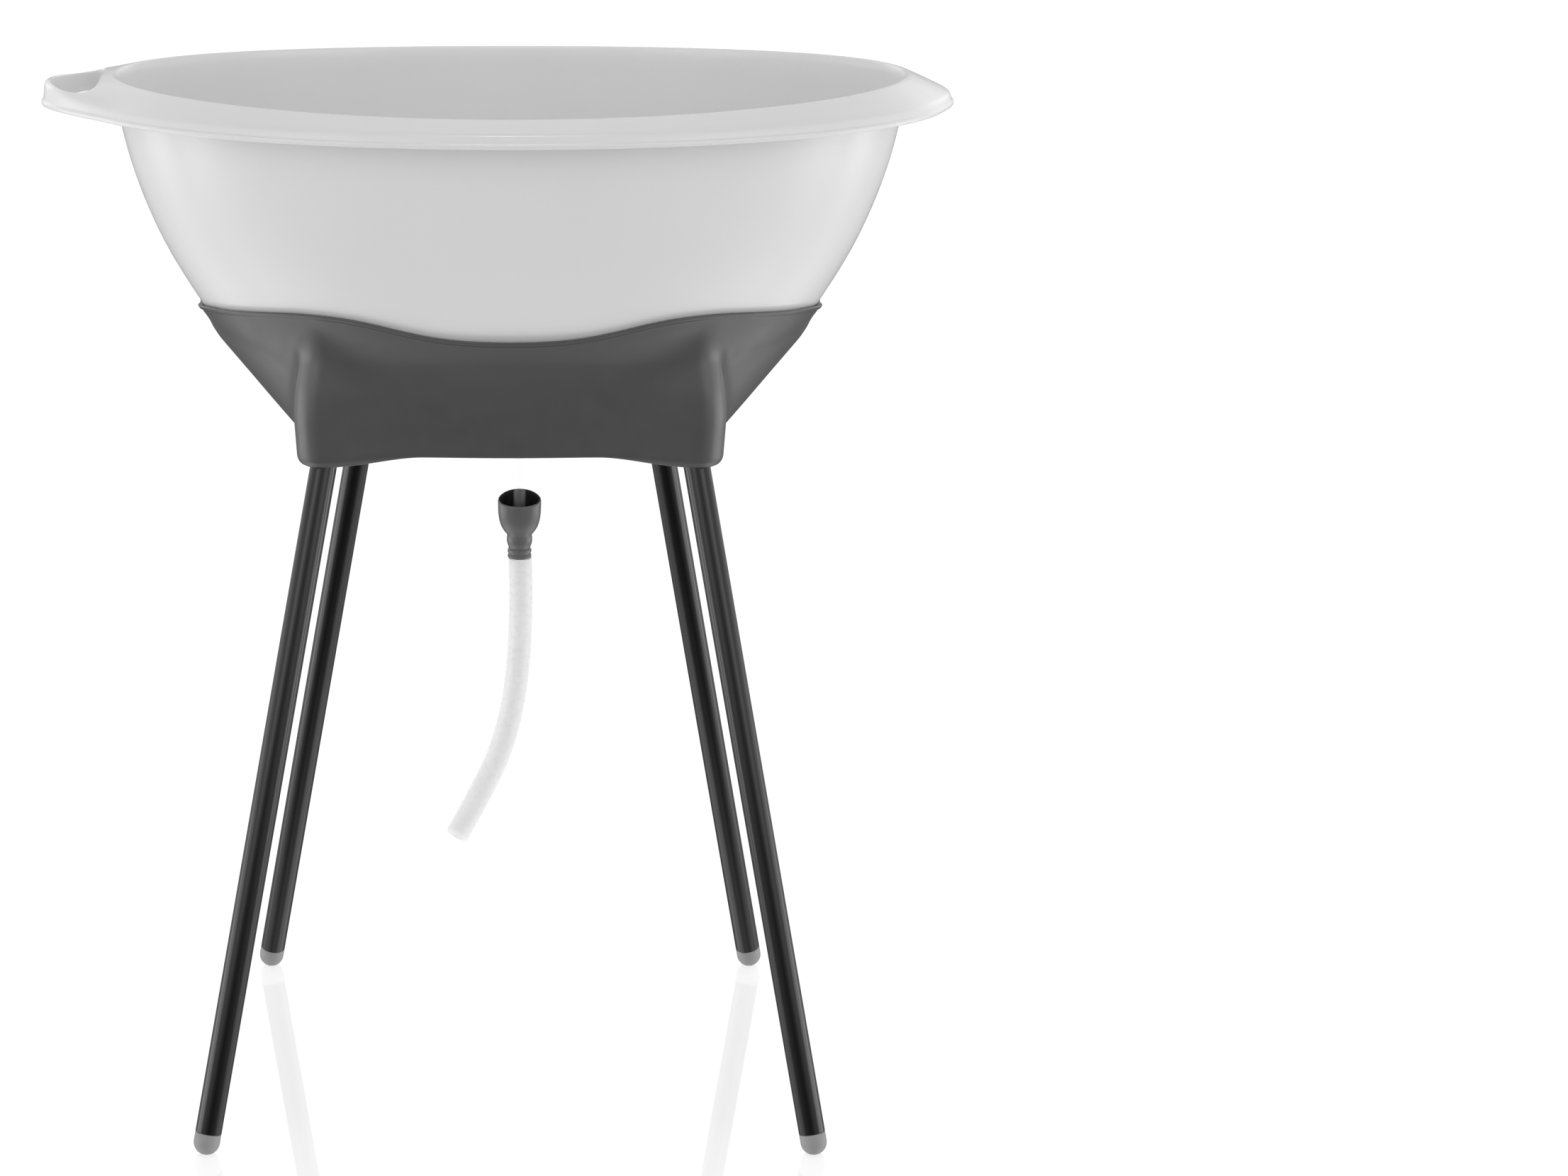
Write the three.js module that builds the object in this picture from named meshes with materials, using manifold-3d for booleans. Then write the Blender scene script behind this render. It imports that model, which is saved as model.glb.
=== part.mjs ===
// Pet bathtub on a four-legged stand, with a drain, a plug and a short drain hose.
// Millimetres, +Z up. X runs along the tub, towards the end without the hand hole; the front is -Y.
// Every piece is drawn about the tub's own centre line, and the whole group is then centred on the floor.
import * as THREE from "three";
import { mergeVertices } from "three/addons/utils/BufferGeometryUtils.js";
import Module from "manifold-3d";

const wasm = await Module();
wasm.setup();

// ---- Driving dimensions ----

const GAP = 0.3; // between pieces that touch
const NEST_GAP = 1; // between the tub's wall and the cradle's edge
const TUB_WALL = 3;
const TUB_SEGMENTS = 60;
const TUB_ROUNDNESS = { rim: 2, body: 2.2, rimHeight: 980, bodyHeight: 790 };

// Half the tub's outer length at each height, from the floor's edge up to the deck.
const WALL_CURVE = [
  [150, 690],
  [186, 692.5],
  [211, 700.5],
  [242, 719],
  [266.5, 740.5],
  [283, 758.7],
  [302.4, 787.7],
  [325, 826.1],
  [342.6, 864.4],
  [356.5, 903.1],
  [366.2, 941],
  [370.2, 966],
];
const WALL_STEPS = WALL_CURVE.length - 1;
const FLOOR_BOTTOM = 690;
// Half width over half length, which grows a little towards the floor.
const SLENDER = { top: 0.5727, topHeight: 980, bottom: 0.61, bottomHeight: 768 };

// The rim from the top of the outer wall, round the skirt and over the deck, to the inside of the lip:
// half length, half width, height, rise of the ends, share of the ear's bulge, share of the ear's lift.
const RIM = [
  [371.6, 213.4, 973, 5, 0, 0],
  [376.5, 217.4, 976.6, 7.6, 0.05, 0],
  [391, 232.5, 973, 4.4, 0.5, 0.5],
  [403.6, 245, 969.4, 0.6, 0.95, 0.9],
  [406.6, 248, 966, 0, 1, 0],
  [408.4, 249.8, 959.7, 0, 1, 0],
  [411.6, 253, 960, 0, 1, 0],
  [412.2, 253.7, 962, 0, 1, 0],
  [411.8, 253.3, 964.2, 0, 1, 0],
  [410, 251.2, 965, 0, 1, 0],
  [409.2, 250.2, 968.6, 0, 1, 0.8],
  [407.8, 248.8, 971.6, 0, 1, 1],
  [403, 244.6, 973.3, 1.2, 0.93, 0.95],
  [391, 232.5, 976.3, 4.8, 0.5, 0.5],
  [377, 217.6, 979.9, 8.2, 0.08, 0],
  [373, 213.6, 980.6, 8.5, 0, 0],
  [370.6, 211.4, 979.4, 8.5, 0, 0],
  [369.2, 210.4, 975, 8, 0, 0],
  [367.6, 209.4, 966, 4, 0, 0],
];
const DECK_ROWS = [10, 16]; // the rows of RIM that make the deck's top, from and up to
const EAR = { reach: 29, halfWidth: 115, lift: 10 };
const NOSE = { reach: 5, halfWidth: 60 }; // the slight point at the end without the ear
const HAND_HOLE = { x: -407.5, bend: 13, halfLength: 23.5, halfWidth: 62, wall: 3, bottom: 961.5, segments: 32 };

// Cradle: an oval edge that hugs the tub, over a rounded box whose corners hold the legs.
const CRADLE_WALL = 4;
const CRADLE_EDGE = 4;
const CRADLE_CURVE = [
  [196, 140, 640],
  [213, 146, 660],
  [229.6, 152, 680],
  [245.9, 158, 700],
  [278.6, 172, 740],
  [284.3, 174.9, 749],
  [288.6, 178.6, 758.7],
];
const HUG_FROM = 745; // the cradle is never inside the tub's wall above this height
const BOX_CURVE = [
  [197.8, 158, 640],
  [201.2, 157, 690],
  [199.5, 156, 715],
  [193, 150, 760],
  [185, 142, 790],
];
const BOX_CORNER = 24; // round corners about the legs
const CORNER_ANGLE = 0.675; // of the corner posts, seen from the middle
const FILLET = { side: 7, front: 34 }; // width of the blend between the oval and the box
// Height of the top edge at each angle round the oval, in degrees from its long axis.
const TOP_EDGE = [
  [768.5, 0],
  [773.5, 12],
  [778.8, 22],
  [782.2, 32],
  [786.7, 42],
  [789.7, 50],
  [790, 55],
  [788.8, 60],
  [785.2, 65],
  [779.5, 70],
  [774.3, 75],
  [771, 80],
  [769.5, 85],
  [769.1, 90],
];
// The bottom edge hangs lower at the corners, where it also curls in under the legs.
const BOTTOM_EDGE = { middle: 655, corner: 643.5, halfAngle: 0.42, radius: 9, tuck: 7.2 };
// Angles in degrees at which a quarter of the cradle is drawn, closer together round the corner.
const QUARTER = [
  ...[0, 4, 8, 12, 16, 20, 24, 28, 31, 33.5, 35.5, 37.5],
  ...[39.5, 41.5, 44, 48, 52.5, 57, 61.5, 66, 71, 77, 83.5, 90],
];
const OUTER_LEVELS = [0, 0.02, 0.05, 0.09, 0.22, 0.36, 0.5, 0.64, 0.8, 0.92, 0.965];
const INNER_LEVELS = [1, 0.95, 0.89, 0.82, 0.75, 0.66, 0.4, 0];
const LIP = { out: 1.2, levels: [0.975, 0.995, 1] };

// Legs: steel tubes that push up into the cradle's sockets.
const LEG = { outer: 12.5, inner: 11.5, capHeight: 9, segments: 16 };
const FOOT_HEIGHT = 11.5; // centre of the round foot, so that its end is cut to a small flat on the floor
const SOCKET = { wall: 3, top: 3, mouth: 646.5 };
const RIB = { low: 658, high: 690, thickness: 3, reachX: 197, reachY: 155.5 };
const LEGS = [
  { name: "front", y: -1, foot: [287, 250], exit: [174.8, 135, 636.2], socketTop: 706 },
  { name: "rear", y: 1, foot: [252, 250], exit: [155.3, 150, 563.7], socketTop: 700 },
];

// Drain, plug, tail pipe and hose.
const DRAIN_X = 9;
const DRAIN = { hole: 16, shank: 15.7, flange: 24, bowl: 13, bore: 8.8, bar: 2, nut: 26.5, segments: 24 };
const PIPE = { outer: 6, inner: 4.8, top: 674, bottom: 531 };
const CUP = { lobe: 0.035, slope: 0.2 }; // the adaptor's mouth: how three-sided it is, and its slant
const HOSE_RADIUS = 11.4;
const HOSE_STEPS = 16;
const HOSE_SIDES = 10;
const HOSE_ROUTE = [
  [9.6, 0, 515.2],
  [10.2, 0, 497],
  [10.4, 0, 482],
  [10.3, 0, 466],
  [9.8, 0, 447],
  [8.9, 0, 425],
  [7.2, 0, 402],
  [4, 0, 376],
  [-1, 0, 350],
  [-7.6, 0, 326],
  [-15.8, 0, 304],
  [-25.2, 0, 284],
  [-34.6, 0, 265.5],
  [-44.2, 0, 247],
  [-52.4, 0, 231.5],
];

// ---- Materials ----

const finish = (color, roughness, metalness) => new THREE.MeshStandardMaterial({ color, roughness, metalness });
const TUB_WHITE = finish(0xe3e4e4, 0.3, 0);
const FITTING_WHITE = finish(0xdadbdb, 0.4, 0);
const CRADLE_GREY = finish(0x5f6061, 0.45, 0);
const LEG_BLACK = finish(0x1d1d1e, 0.3, 0.2);
const FOOT_GREY = finish(0x959697, 0.6, 0);
const RUBBER_GREY = finish(0x4c4d4e, 0.65, 0);
const HOSE_CLEAR = finish(0xe1e2e3, 0.35, 0);

// ---- Helpers ----

const lerp = (from, to, share) => from + (to - from) * share;
const clamp01 = (value) => Math.min(1, Math.max(0, value));

// A point of a curve given as rows of numbers whose last column is the height.
function atHeight(rows, height) {
  let i = 0;
  while (i < rows.length - 2 && height > rows[i + 1].at(-1)) i += 1;
  const low = rows[i];
  const high = rows[i + 1];
  const share = (height - low.at(-1)) / (high.at(-1) - low.at(-1));
  return low.map((value, k) => lerp(value, high[k], share));
}

// A lathe whose rings are then reshaped: place(ring, angle) gives each point.
function reshapedLathe(rings, segments, place, closed) {
  const outline = rings.map((ring, j) => new THREE.Vector2(1, j));
  if (closed) outline.push(outline[0]);
  const geometry = new THREE.LatheGeometry(outline, segments);
  const position = geometry.getAttribute("position");
  for (let i = 0; i < position.count; i += 1) {
    const ring = rings[(i % outline.length) % rings.length];
    const angle = (2 * Math.PI * (Math.floor(i / outline.length) % segments)) / segments;
    position.setXYZ(i, ...place(ring, angle));
  }
  return geometry;
}

// A round piece from its profile of [radius, height] pairs, as a closed loop or from axis to axis.
function turned(profile, segments) {
  const place = ([radius, height], angle) => [radius * Math.cos(angle), radius * Math.sin(angle), height];
  return reshapedLathe(profile, segments, place, profile[0][0] > 0);
}

// A closed mesh as a manifold-3d solid.
function solid(geometry) {
  const bare = geometry.clone();
  bare.deleteAttribute("normal");
  bare.deleteAttribute("uv");
  const merged = mergeVertices(bare, 1e-3);
  const corners = merged.index.array;
  const kept = [];
  for (let i = 0; i < corners.length; i += 3) {
    const [a, b, c] = [corners[i], corners[i + 1], corners[i + 2]];
    if (a !== b && b !== c && c !== a) kept.push(a, b, c);
  }
  const vertProperties = new Float32Array(merged.getAttribute("position").array);
  return new wasm.Manifold(new wasm.Mesh({ numProp: 3, vertProperties, triVerts: new Uint32Array(kept) }));
}

function fromSolid(manifold) {
  const { vertProperties, triVerts } = manifold.getMesh();
  const geometry = new THREE.BufferGeometry();
  geometry.setAttribute("position", new THREE.BufferAttribute(vertProperties, 3));
  geometry.setIndex(new THREE.BufferAttribute(triVerts, 1));
  return geometry;
}

function piece(name, geometry, material, position = [0, 0, 0]) {
  const mesh = new THREE.Mesh(geometry, material);
  mesh.name = name;
  mesh.position.set(...position);
  return mesh;
}

// ---- Tub ----

const wallCurve = new THREE.SplineCurve(WALL_CURVE.map(([x, z]) => new THREE.Vector2(x, z)));

function slenderness(height) {
  const { top, topHeight, bottom, bottomHeight } = SLENDER;
  return lerp(bottom, top, clamp01((height - bottomHeight) / (topHeight - bottomHeight)));
}

function tubRoundness(height) {
  const { rim, body, rimHeight, bodyHeight } = TUB_ROUNDNESS;
  return lerp(body, rim, clamp01((height - bodyHeight) / (rimHeight - bodyHeight)));
}

// Rings of the tub's wall, moved along the wall's normal by the given thickness.
function wallRings(thickness) {
  const rings = [];
  for (let i = 0; i <= WALL_STEPS; i += 1) {
    const point = wallCurve.getPoint(i / WALL_STEPS);
    const along = wallCurve.getTangent(i / WALL_STEPS);
    const x = point.x - along.y * thickness;
    const z = point.y + along.x * thickness;
    rings.push([x, x * slenderness(point.y), z, 0, 0, 0]);
  }
  return rings;
}

// How far the ear's outline stands out at a distance from the centre line, from 0 to 1.
function bulge(y, halfWidth) {
  const share = 1 - (y / halfWidth) ** 2;
  return share > 0 ? share ** 2 : 0;
}

function tubPoint([length, width, height, rise, reach, lift], angle) {
  const power = 2 / tubRoundness(height);
  const c = Math.cos(angle);
  const s = Math.sin(angle);
  const y = width * Math.sign(s) * Math.abs(s) ** power;
  let x = length * Math.sign(c) * Math.abs(c) ** power;
  let z = height + rise * c * c;
  if (x < 0) {
    x -= EAR.reach * reach * bulge(y, EAR.halfWidth);
    z += EAR.lift * lift * bulge(y, EAR.halfWidth);
  } else {
    x += NOSE.reach * reach * bulge(y, NOSE.halfWidth);
  }
  return [x, y, z];
}

// The deck's top surface at a point of the ear.
function deckHeight(x, y) {
  const deck = RIM.slice(...DECK_ROWS).reverse();
  const across = deck.map((ring) => tubPoint(ring, Math.PI - Math.asin(y / ring[1])));
  return atHeight(across.map(([px, , pz]) => [pz, -px]), -x)[0];
}

function handHoleRing(inset, low) {
  const { x, bend, halfLength, halfWidth, bottom } = HAND_HOLE;
  return (top, angle) => {
    const px = x + bend * Math.sin(angle) ** 2 + (halfLength + inset) * Math.cos(angle);
    const py = (halfWidth + inset) * Math.sin(angle);
    return [px, py, top ? deckHeight(px, py) + low : bottom];
  };
}

function tubShell() {
  const inside = wallRings(TUB_WALL).slice(0, -1);
  const outside = wallRings(0);
  const floorTop = [0, 0, FLOOR_BOTTOM + TUB_WALL, 0, 0, 0];
  const floorUnder = [0, 0, FLOOR_BOTTOM, 0, 0, 0];
  const rings = [floorUnder, ...outside, ...RIM, ...inside.reverse(), floorTop];
  const shell = solid(reshapedLathe(rings, TUB_SEGMENTS, tubPoint, false));
  const slab = [0, 1];
  const sunk = -1.2; // the collar's top stays under the deck's skin
  const past = 8; // how far the cutters run past the surfaces
  const collar = solid(ovalPlug(slab, handHoleRing(HAND_HOLE.wall, sunk)));
  const hole = solid(ovalPlug(slab, handHoleRing(0, 2 * past))).translate(0, 0, -past);
  const drill = rod(DRAIN.hole, FLOOR_BOTTOM - past, FLOOR_BOTTOM + TUB_WALL + past, DRAIN.segments);
  const drilled = solid(drill).translate(DRAIN_X, 0, 0);
  return fromSolid(shell.add(collar).subtract(hole).subtract(drilled));
}

// A solid oval between a bottom ring and a top ring.
function ovalPlug(levels, pointAt) {
  const middle = (level) => {
    const [x0, , z0] = pointAt(level, 0);
    const [x1, , z1] = pointAt(level, Math.PI);
    return [(x0 + x1) / 2, 0, (z0 + z1) / 2];
  };
  const rings = ["low", 0, 1, "high"];
  const place = (ring, angle) => {
    if (ring === "low") return middle(levels[0]);
    if (ring === "high") return middle(levels[1]);
    return pointAt(levels[ring], angle);
  };
  return reshapedLathe(rings, HAND_HOLE.segments, place, false);
}

// ---- Cradle ----

// Distance from the centre line to a superellipse, at an angle.
function superellipse(halfX, halfY, power, angle) {
  const x = Math.abs(Math.cos(angle) / halfX) ** power;
  const y = Math.abs(Math.sin(angle) / halfY) ** power;
  return (x + y) ** (-1 / power);
}

// Distance from the centre line to a rectangle with round corners, at an angle.
function roundedBox(halfX, halfY, corner, angle) {
  const x = Math.abs(Math.cos(angle));
  const y = Math.abs(Math.sin(angle));
  const middleX = halfX - corner;
  const middleY = halfY - corner;
  if (y * halfX <= x * middleY) return halfX / x;
  if (x * halfY <= y * middleX) return halfY / y;
  const along = x * middleX + y * middleY;
  return along + Math.sqrt(corner ** 2 - middleX ** 2 - middleY ** 2 + along ** 2);
}

function smoothMax(a, b, width) {
  const share = clamp01(0.5 + (0.5 * (a - b)) / width);
  return lerp(b, a, share) + width * share * (1 - share);
}

const wallAtHeight = WALL_CURVE.map(([x, z]) => [x, z]);

function tubRadius(height, angle) {
  const [length] = atHeight(wallAtHeight, height);
  return superellipse(length, length * slenderness(height), TUB_ROUNDNESS.body, angle);
}

function cradleRadius(height, angle) {
  const [length, width] = atHeight(CRADLE_CURVE, height);
  const hug = tubRadius(height, angle) + NEST_GAP + CRADLE_EDGE;
  const oval = height > CRADLE_CURVE.at(-1)[2] ? hug : superellipse(length, width, 2, angle);
  const [boxLength, boxWidth] = atHeight(BOX_CURVE, height);
  const box = roundedBox(boxLength, boxWidth, BOX_CORNER, angle);
  const blend = FILLET.side + (FILLET.front - FILLET.side) * Math.sin(angle) ** 2;
  return smoothMax(Math.max(oval, height > HUG_FROM ? hug : 0), box, blend);
}

function topEdge(angle) {
  const [length, width] = CRADLE_CURVE.at(-1);
  const turn = Math.atan2(Math.abs(Math.sin(angle)) / width, Math.abs(Math.cos(angle)) / length);
  return atHeight(TOP_EDGE, THREE.MathUtils.radToDeg(turn))[0];
}

// 1 at the four corners, 0 well away from them.
function cornerShare(angle) {
  const folded = Math.atan2(Math.abs(Math.sin(angle)), Math.abs(Math.cos(angle)));
  const away = Math.min(1, Math.abs(folded - CORNER_ANGLE) / BOTTOM_EDGE.halfAngle);
  return Math.cos((Math.PI / 2) * away) ** 2;
}

// An evenly spaced angle moved to its place among the drawn ones.
function spacedAngle(even) {
  const steps = QUARTER.length - 1;
  const index = Math.round((even * 4 * steps) / (2 * Math.PI));
  const quarter = Math.floor(index / steps);
  const rest = index % steps;
  const degrees = quarter % 2 === 0 ? QUARTER[rest] : 90 - QUARTER[steps - rest];
  return THREE.MathUtils.degToRad(90 * quarter + degrees);
}

function cradlePoint([side, level, lip], even) {
  const angle = spacedAngle(even);
  const corner = cornerShare(angle);
  const low = lerp(BOTTOM_EDGE.middle, BOTTOM_EDGE.corner, corner);
  const high = topEdge(angle);
  const z = lerp(low, high, level);
  const outer = cradleRadius(z, angle);
  const above = clamp01((z - low) / BOTTOM_EDGE.radius);
  const inset = BOTTOM_EDGE.tuck * corner * (1 - Math.sqrt(1 - (1 - above) ** 2));
  const inner = Math.max(outer - CRADLE_WALL, z > 700 ? tubRadius(z, angle) + NEST_GAP : 0);
  const r = side === "outer" ? outer - inset + lip : Math.min(inner, outer - inset - 2);
  return [r * Math.cos(angle), r * Math.sin(angle), z];
}

function cradleWall() {
  const outer = OUTER_LEVELS.map((level) => ["outer", level, 0]);
  const lip = LIP.levels.map((level) => ["outer", level, level < 1 ? LIP.out : LIP.out / 2]);
  const inner = INNER_LEVELS.map((level) => ["inner", level, 0]);
  return reshapedLathe([...outer, ...lip, ...inner], 4 * (QUARTER.length - 1), cradlePoint, true);
}

// ---- Legs ----

// Each leg's axis, from the centre of its round foot up to its socket.
function legFrames() {
  const frames = [];
  for (const leg of LEGS) {
    for (const side of [-1, 1]) {
      const foot = new THREE.Vector3(side * leg.foot[0], leg.y * leg.foot[1], FOOT_HEIGHT);
      const exit = new THREE.Vector3(side * leg.exit[0], leg.y * leg.exit[1], leg.exit[2]);
      const direction = exit.clone().sub(foot).normalize();
      const turn = new THREE.Quaternion().setFromUnitVectors(new THREE.Vector3(0, 0, 1), direction);
      const along = (height) => (height - FOOT_HEIGHT) / direction.z;
      const name = leg.name + (side < 0 ? "_left" : "_right");
      frames.push({ name, foot, direction, turn, along, socketTop: leg.socketTop });
    }
  }
  return frames;
}

function standing(geometry, frame) {
  const matrix = new THREE.Matrix4().compose(frame.foot, frame.turn, new THREE.Vector3(1, 1, 1));
  return geometry.clone().applyMatrix4(matrix);
}

function ringTube(inner, outer, low, high, segments) {
  return turned([[inner, low], [outer, low], [outer, high], [inner, high]], segments);
}

function rod(radius, low, high, segments) {
  return turned([[0, low], [radius, low], [radius, high], [0, high]], segments);
}

// Two ribs tie each socket to the cradle's outer wall, one sideways and one to the front or back.
function socketRibs(frame) {
  const { low, high, thickness, reachX, reachY } = RIB;
  const middle = (low + high) / 2;
  const axis = frame.foot.clone().addScaledVector(frame.direction, frame.along(middle));
  const deepX = reachX - Math.abs(axis.x);
  const deepY = reachY - Math.abs(axis.y);
  const sideways = solid(new THREE.BoxGeometry(deepX, thickness, high - low));
  const across = solid(new THREE.BoxGeometry(thickness, deepY, high - low));
  return [
    sideways.translate(axis.x + (Math.sign(axis.x) * deepX) / 2, axis.y, middle),
    across.translate(axis.x, axis.y + (Math.sign(axis.y) * deepY) / 2, middle),
  ];
}

function cradle(frames) {
  let body = solid(cradleWall());
  for (const frame of frames) {
    const low = frame.along(SOCKET.mouth);
    const high = frame.along(frame.socketTop);
    const bore = LEG.outer + GAP;
    body = body.add(solid(standing(rod(bore + SOCKET.wall, low, high + SOCKET.top, 24), frame)));
  }
  for (const frame of frames) {
    for (const rib of socketRibs(frame)) body = body.add(rib);
  }
  for (const frame of frames) {
    const bore = rod(LEG.outer + GAP, frame.along(FLOOR_BOTTOM / 2), frame.along(frame.socketTop), 24);
    body = body.subtract(solid(standing(bore, frame)));
  }
  return piece("cradle", fromSolid(body), CRADLE_GREY);
}

function legPieces(frame) {
  const tubeTop = frame.along(frame.socketTop) - GAP - 2;
  const tube = ringTube(LEG.inner, LEG.outer, LEG.capHeight, tubeTop, LEG.segments);
  const spigot = LEG.inner - GAP;
  const topPlug = turned(
    [
      [0, tubeTop - 14],
      [spigot - 1, tubeTop - 14],
      [spigot, tubeTop - 12],
      [spigot, tubeTop + GAP],
      [LEG.outer - 0.4, tubeTop + GAP],
      [LEG.outer - 1, tubeTop + 2],
      [0, tubeTop + 2],
    ],
    LEG.segments,
  );
  return [
    piece("leg_tube_" + frame.name, standing(tube, frame), LEG_BLACK),
    piece("foot_cap_" + frame.name, footCap(frame), FOOT_GREY),
    piece("leg_top_plug_" + frame.name, standing(topPlug, frame), FOOT_GREY),
  ];
}

// A round-ended cap with a spigot inside the tube, cut to a small flat where it meets the floor.
function footCap(frame) {
  const rim = LEG.capHeight - GAP;
  const spigot = LEG.inner - GAP;
  const profile = [[0, -LEG.outer]];
  for (const degrees of [22.5, 45, 67.5, 90]) {
    const a = THREE.MathUtils.degToRad(degrees);
    profile.push([LEG.outer * Math.sin(a), -LEG.outer * Math.cos(a)]);
  }
  profile.push([LEG.outer, rim], [spigot, rim], [spigot, rim + 18], [spigot - 1.5, rim + 20], [0, rim + 20]);
  const cap = solid(standing(turned(profile, LEG.segments), frame));
  const floor = solid(new THREE.BoxGeometry(100, 100, 20)).translate(frame.foot.x, frame.foot.y, -10);
  return fromSolid(cap.subtract(floor));
}

// ---- Drain ----

function drainBody() {
  const top = FLOOR_BOTTOM + TUB_WALL + GAP;
  const { shank, flange, bowl, bore } = DRAIN;
  const grip = PIPE.outer + GAP;
  const shell = turned(
    [
      [grip, top - 32],
      [shank, top - 32],
      [shank, top],
      [flange, top],
      [flange, top + 1],
      [flange - 2, top + 2],
      [bowl + 1.5, top + 2],
      [bowl, top + 0.5],
      [bowl, top - 11],
      [bore, top - 13],
      [bore, top - 17],
      [grip, top - 18],
    ],
    DRAIN.segments,
  );
  let body = solid(shell);
  const bar = new THREE.BoxGeometry(2 * bore + 4, DRAIN.bar, DRAIN.bar);
  const barHeight = top - 13.4;
  for (const turn of [0, 60, 120]) body = body.add(solid(bar).rotate(0, 0, turn).translate(0, 0, barHeight));
  return piece("drain_body", fromSolid(body), FITTING_WHITE, [DRAIN_X, 0, 0]);
}

function drainGasket() {
  const high = FLOOR_BOTTOM - GAP;
  const ring = ringTube(DRAIN.shank + GAP, DRAIN.flange - 1, high - 2.2, high, DRAIN.segments);
  return piece("drain_gasket", ring, RUBBER_GREY, [DRAIN_X, 0, 0]);
}

function drainNut() {
  const outline = new THREE.Shape();
  for (let i = 0; i < 6; i += 1) {
    const a = (i * Math.PI) / 3;
    outline[i ? "lineTo" : "moveTo"](DRAIN.nut * Math.cos(a), DRAIN.nut * Math.sin(a));
  }
  outline.closePath();
  outline.holes.push(new THREE.Path().absarc(0, 0, DRAIN.shank + GAP, 0, 2 * Math.PI, true));
  const nut = new THREE.ExtrudeGeometry(outline, { depth: 9, bevelEnabled: false, curveSegments: DRAIN.segments });
  return piece("drain_nut", nut, FITTING_WHITE, [DRAIN_X, 0, FLOOR_BOTTOM - 12]);
}

function tailPipe() {
  const pipe = ringTube(PIPE.inner, PIPE.outer, PIPE.bottom, PIPE.top, DRAIN.segments);
  return piece("drain_tail_pipe", pipe, HOSE_CLEAR, [DRAIN_X, 0, 0]);
}

function plugPieces() {
  const seat = FLOOR_BOTTOM + TUB_WALL + GAP + 2;
  const groove = { low: seat - 7, high: seat - 4, radius: 10.6 };
  const plug = turned(
    [
      [0, seat - 9.5],
      [10.8, seat - 9.5],
      [12, seat - 8.3],
      [12, groove.low],
      [groove.radius, groove.low],
      [groove.radius, groove.high],
      [12, groove.high],
      [12, seat + GAP],
      [18, seat + GAP],
      [18, seat + 1.6],
      [16, seat + 2.8],
      [6.5, seat + 3.4],
      [4, seat + 6],
      [4, seat + 11],
      [6.5, seat + 13],
      [6.5, seat + 16],
      [4.5, seat + 18],
      [0, seat + 18.6],
    ],
    DRAIN.segments,
  );
  const seal = ringTube(groove.radius + GAP, DRAIN.bowl - GAP, groove.low + GAP, groove.high - GAP, DRAIN.segments);
  return [
    piece("drain_plug", plug, FITTING_WHITE, [DRAIN_X, 0, 0]),
    piece("drain_plug_seal", seal, RUBBER_GREY, [DRAIN_X, 0, 0]),
  ];
}

// ---- Hose ----

// The soft adaptor: a cup with a slanting, slightly three-sided mouth, a neck and a ribbed collar.
// Each ring is radius, height, share of the three-sided shape and share of the slant.
function hoseAdaptor() {
  const grip = PIPE.outer + GAP;
  const rings = [
    [7, 516, 0, 0],
    [11.2, 516, 0, 0],
    [11.6, 519, 0, 0],
    [10.2, 520, 0, 0],
    [11.6, 521, 0, 0],
    [11.4, 524.4, 0, 0],
    [10, 525.4, 0, 0],
    [11, 527.4, 0, 0],
    [12.3, 535.5, 0, 0],
    [11.8, 539, 0, 0],
    [16.6, 545, 0.4, 0],
    [19.3, 552, 0.8, 0],
    [20.6, 561, 1, 0.3],
    [20.9, 573.6, 1, 1],
    [20.4, 575, 1, 1],
    [19.2, 575, 1, 1],
    [18.6, 573.6, 1, 1],
    [18.4, 561, 1, 0.3],
    [16.6, 553, 0.8, 0],
    [grip, 545.6, 0, 0],
    [grip, 529.4, 0, 0],
    [7, 527, 0, 0],
  ];
  const place = ([radius, height, lobes, slant], angle) => {
    const r = radius * (1 + CUP.lobe * lobes * Math.cos(3 * (angle - Math.PI / 2)));
    const y = r * Math.sin(angle);
    return [r * Math.cos(angle), y, height + CUP.slope * slant * y];
  };
  const cup = reshapedLathe(rings, 24, place, true);
  return piece("hose_adaptor", cup, RUBBER_GREY, [DRAIN_X, 0, 0]);
}

function drainHose() {
  const section = new THREE.Shape();
  for (let i = 0; i < HOSE_SIDES; i += 1) {
    const a = (2 * Math.PI * i) / HOSE_SIDES;
    section[i ? "lineTo" : "moveTo"](HOSE_RADIUS * Math.cos(a), HOSE_RADIUS * Math.sin(a));
  }
  section.closePath();
  const route = new THREE.CatmullRomCurve3(HOSE_ROUTE.map((point) => new THREE.Vector3(...point)));
  const hose = new THREE.ExtrudeGeometry(section, { steps: HOSE_STEPS, extrudePath: route, bevelEnabled: false });
  return piece("drain_hose", hose, HOSE_CLEAR);
}

// ---- Assembly ----

const bathtub = new THREE.Group();
const frames = legFrames();
bathtub.add(piece("tub_shell", tubShell(), TUB_WHITE));
bathtub.add(drainBody(), drainGasket(), drainNut(), tailPipe(), ...plugPieces());
bathtub.add(cradle(frames));
for (const frame of frames) bathtub.add(...legPieces(frame));
bathtub.add(hoseAdaptor(), drainHose());
bathtub.position.x = (EAR.reach - NOSE.reach) / 2;

export default bathtub;
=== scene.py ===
"""Looks of the pet bathtub: smooth meshes, materials, floor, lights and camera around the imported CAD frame.

Lengths in the tables are millimetres about the tub's own centre line, as in the CAD source. Meshes are
metres in the frame's own axes. X runs along the tub, away from the hand hole; the front is -Y; Z is up.
"""
import math

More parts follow.
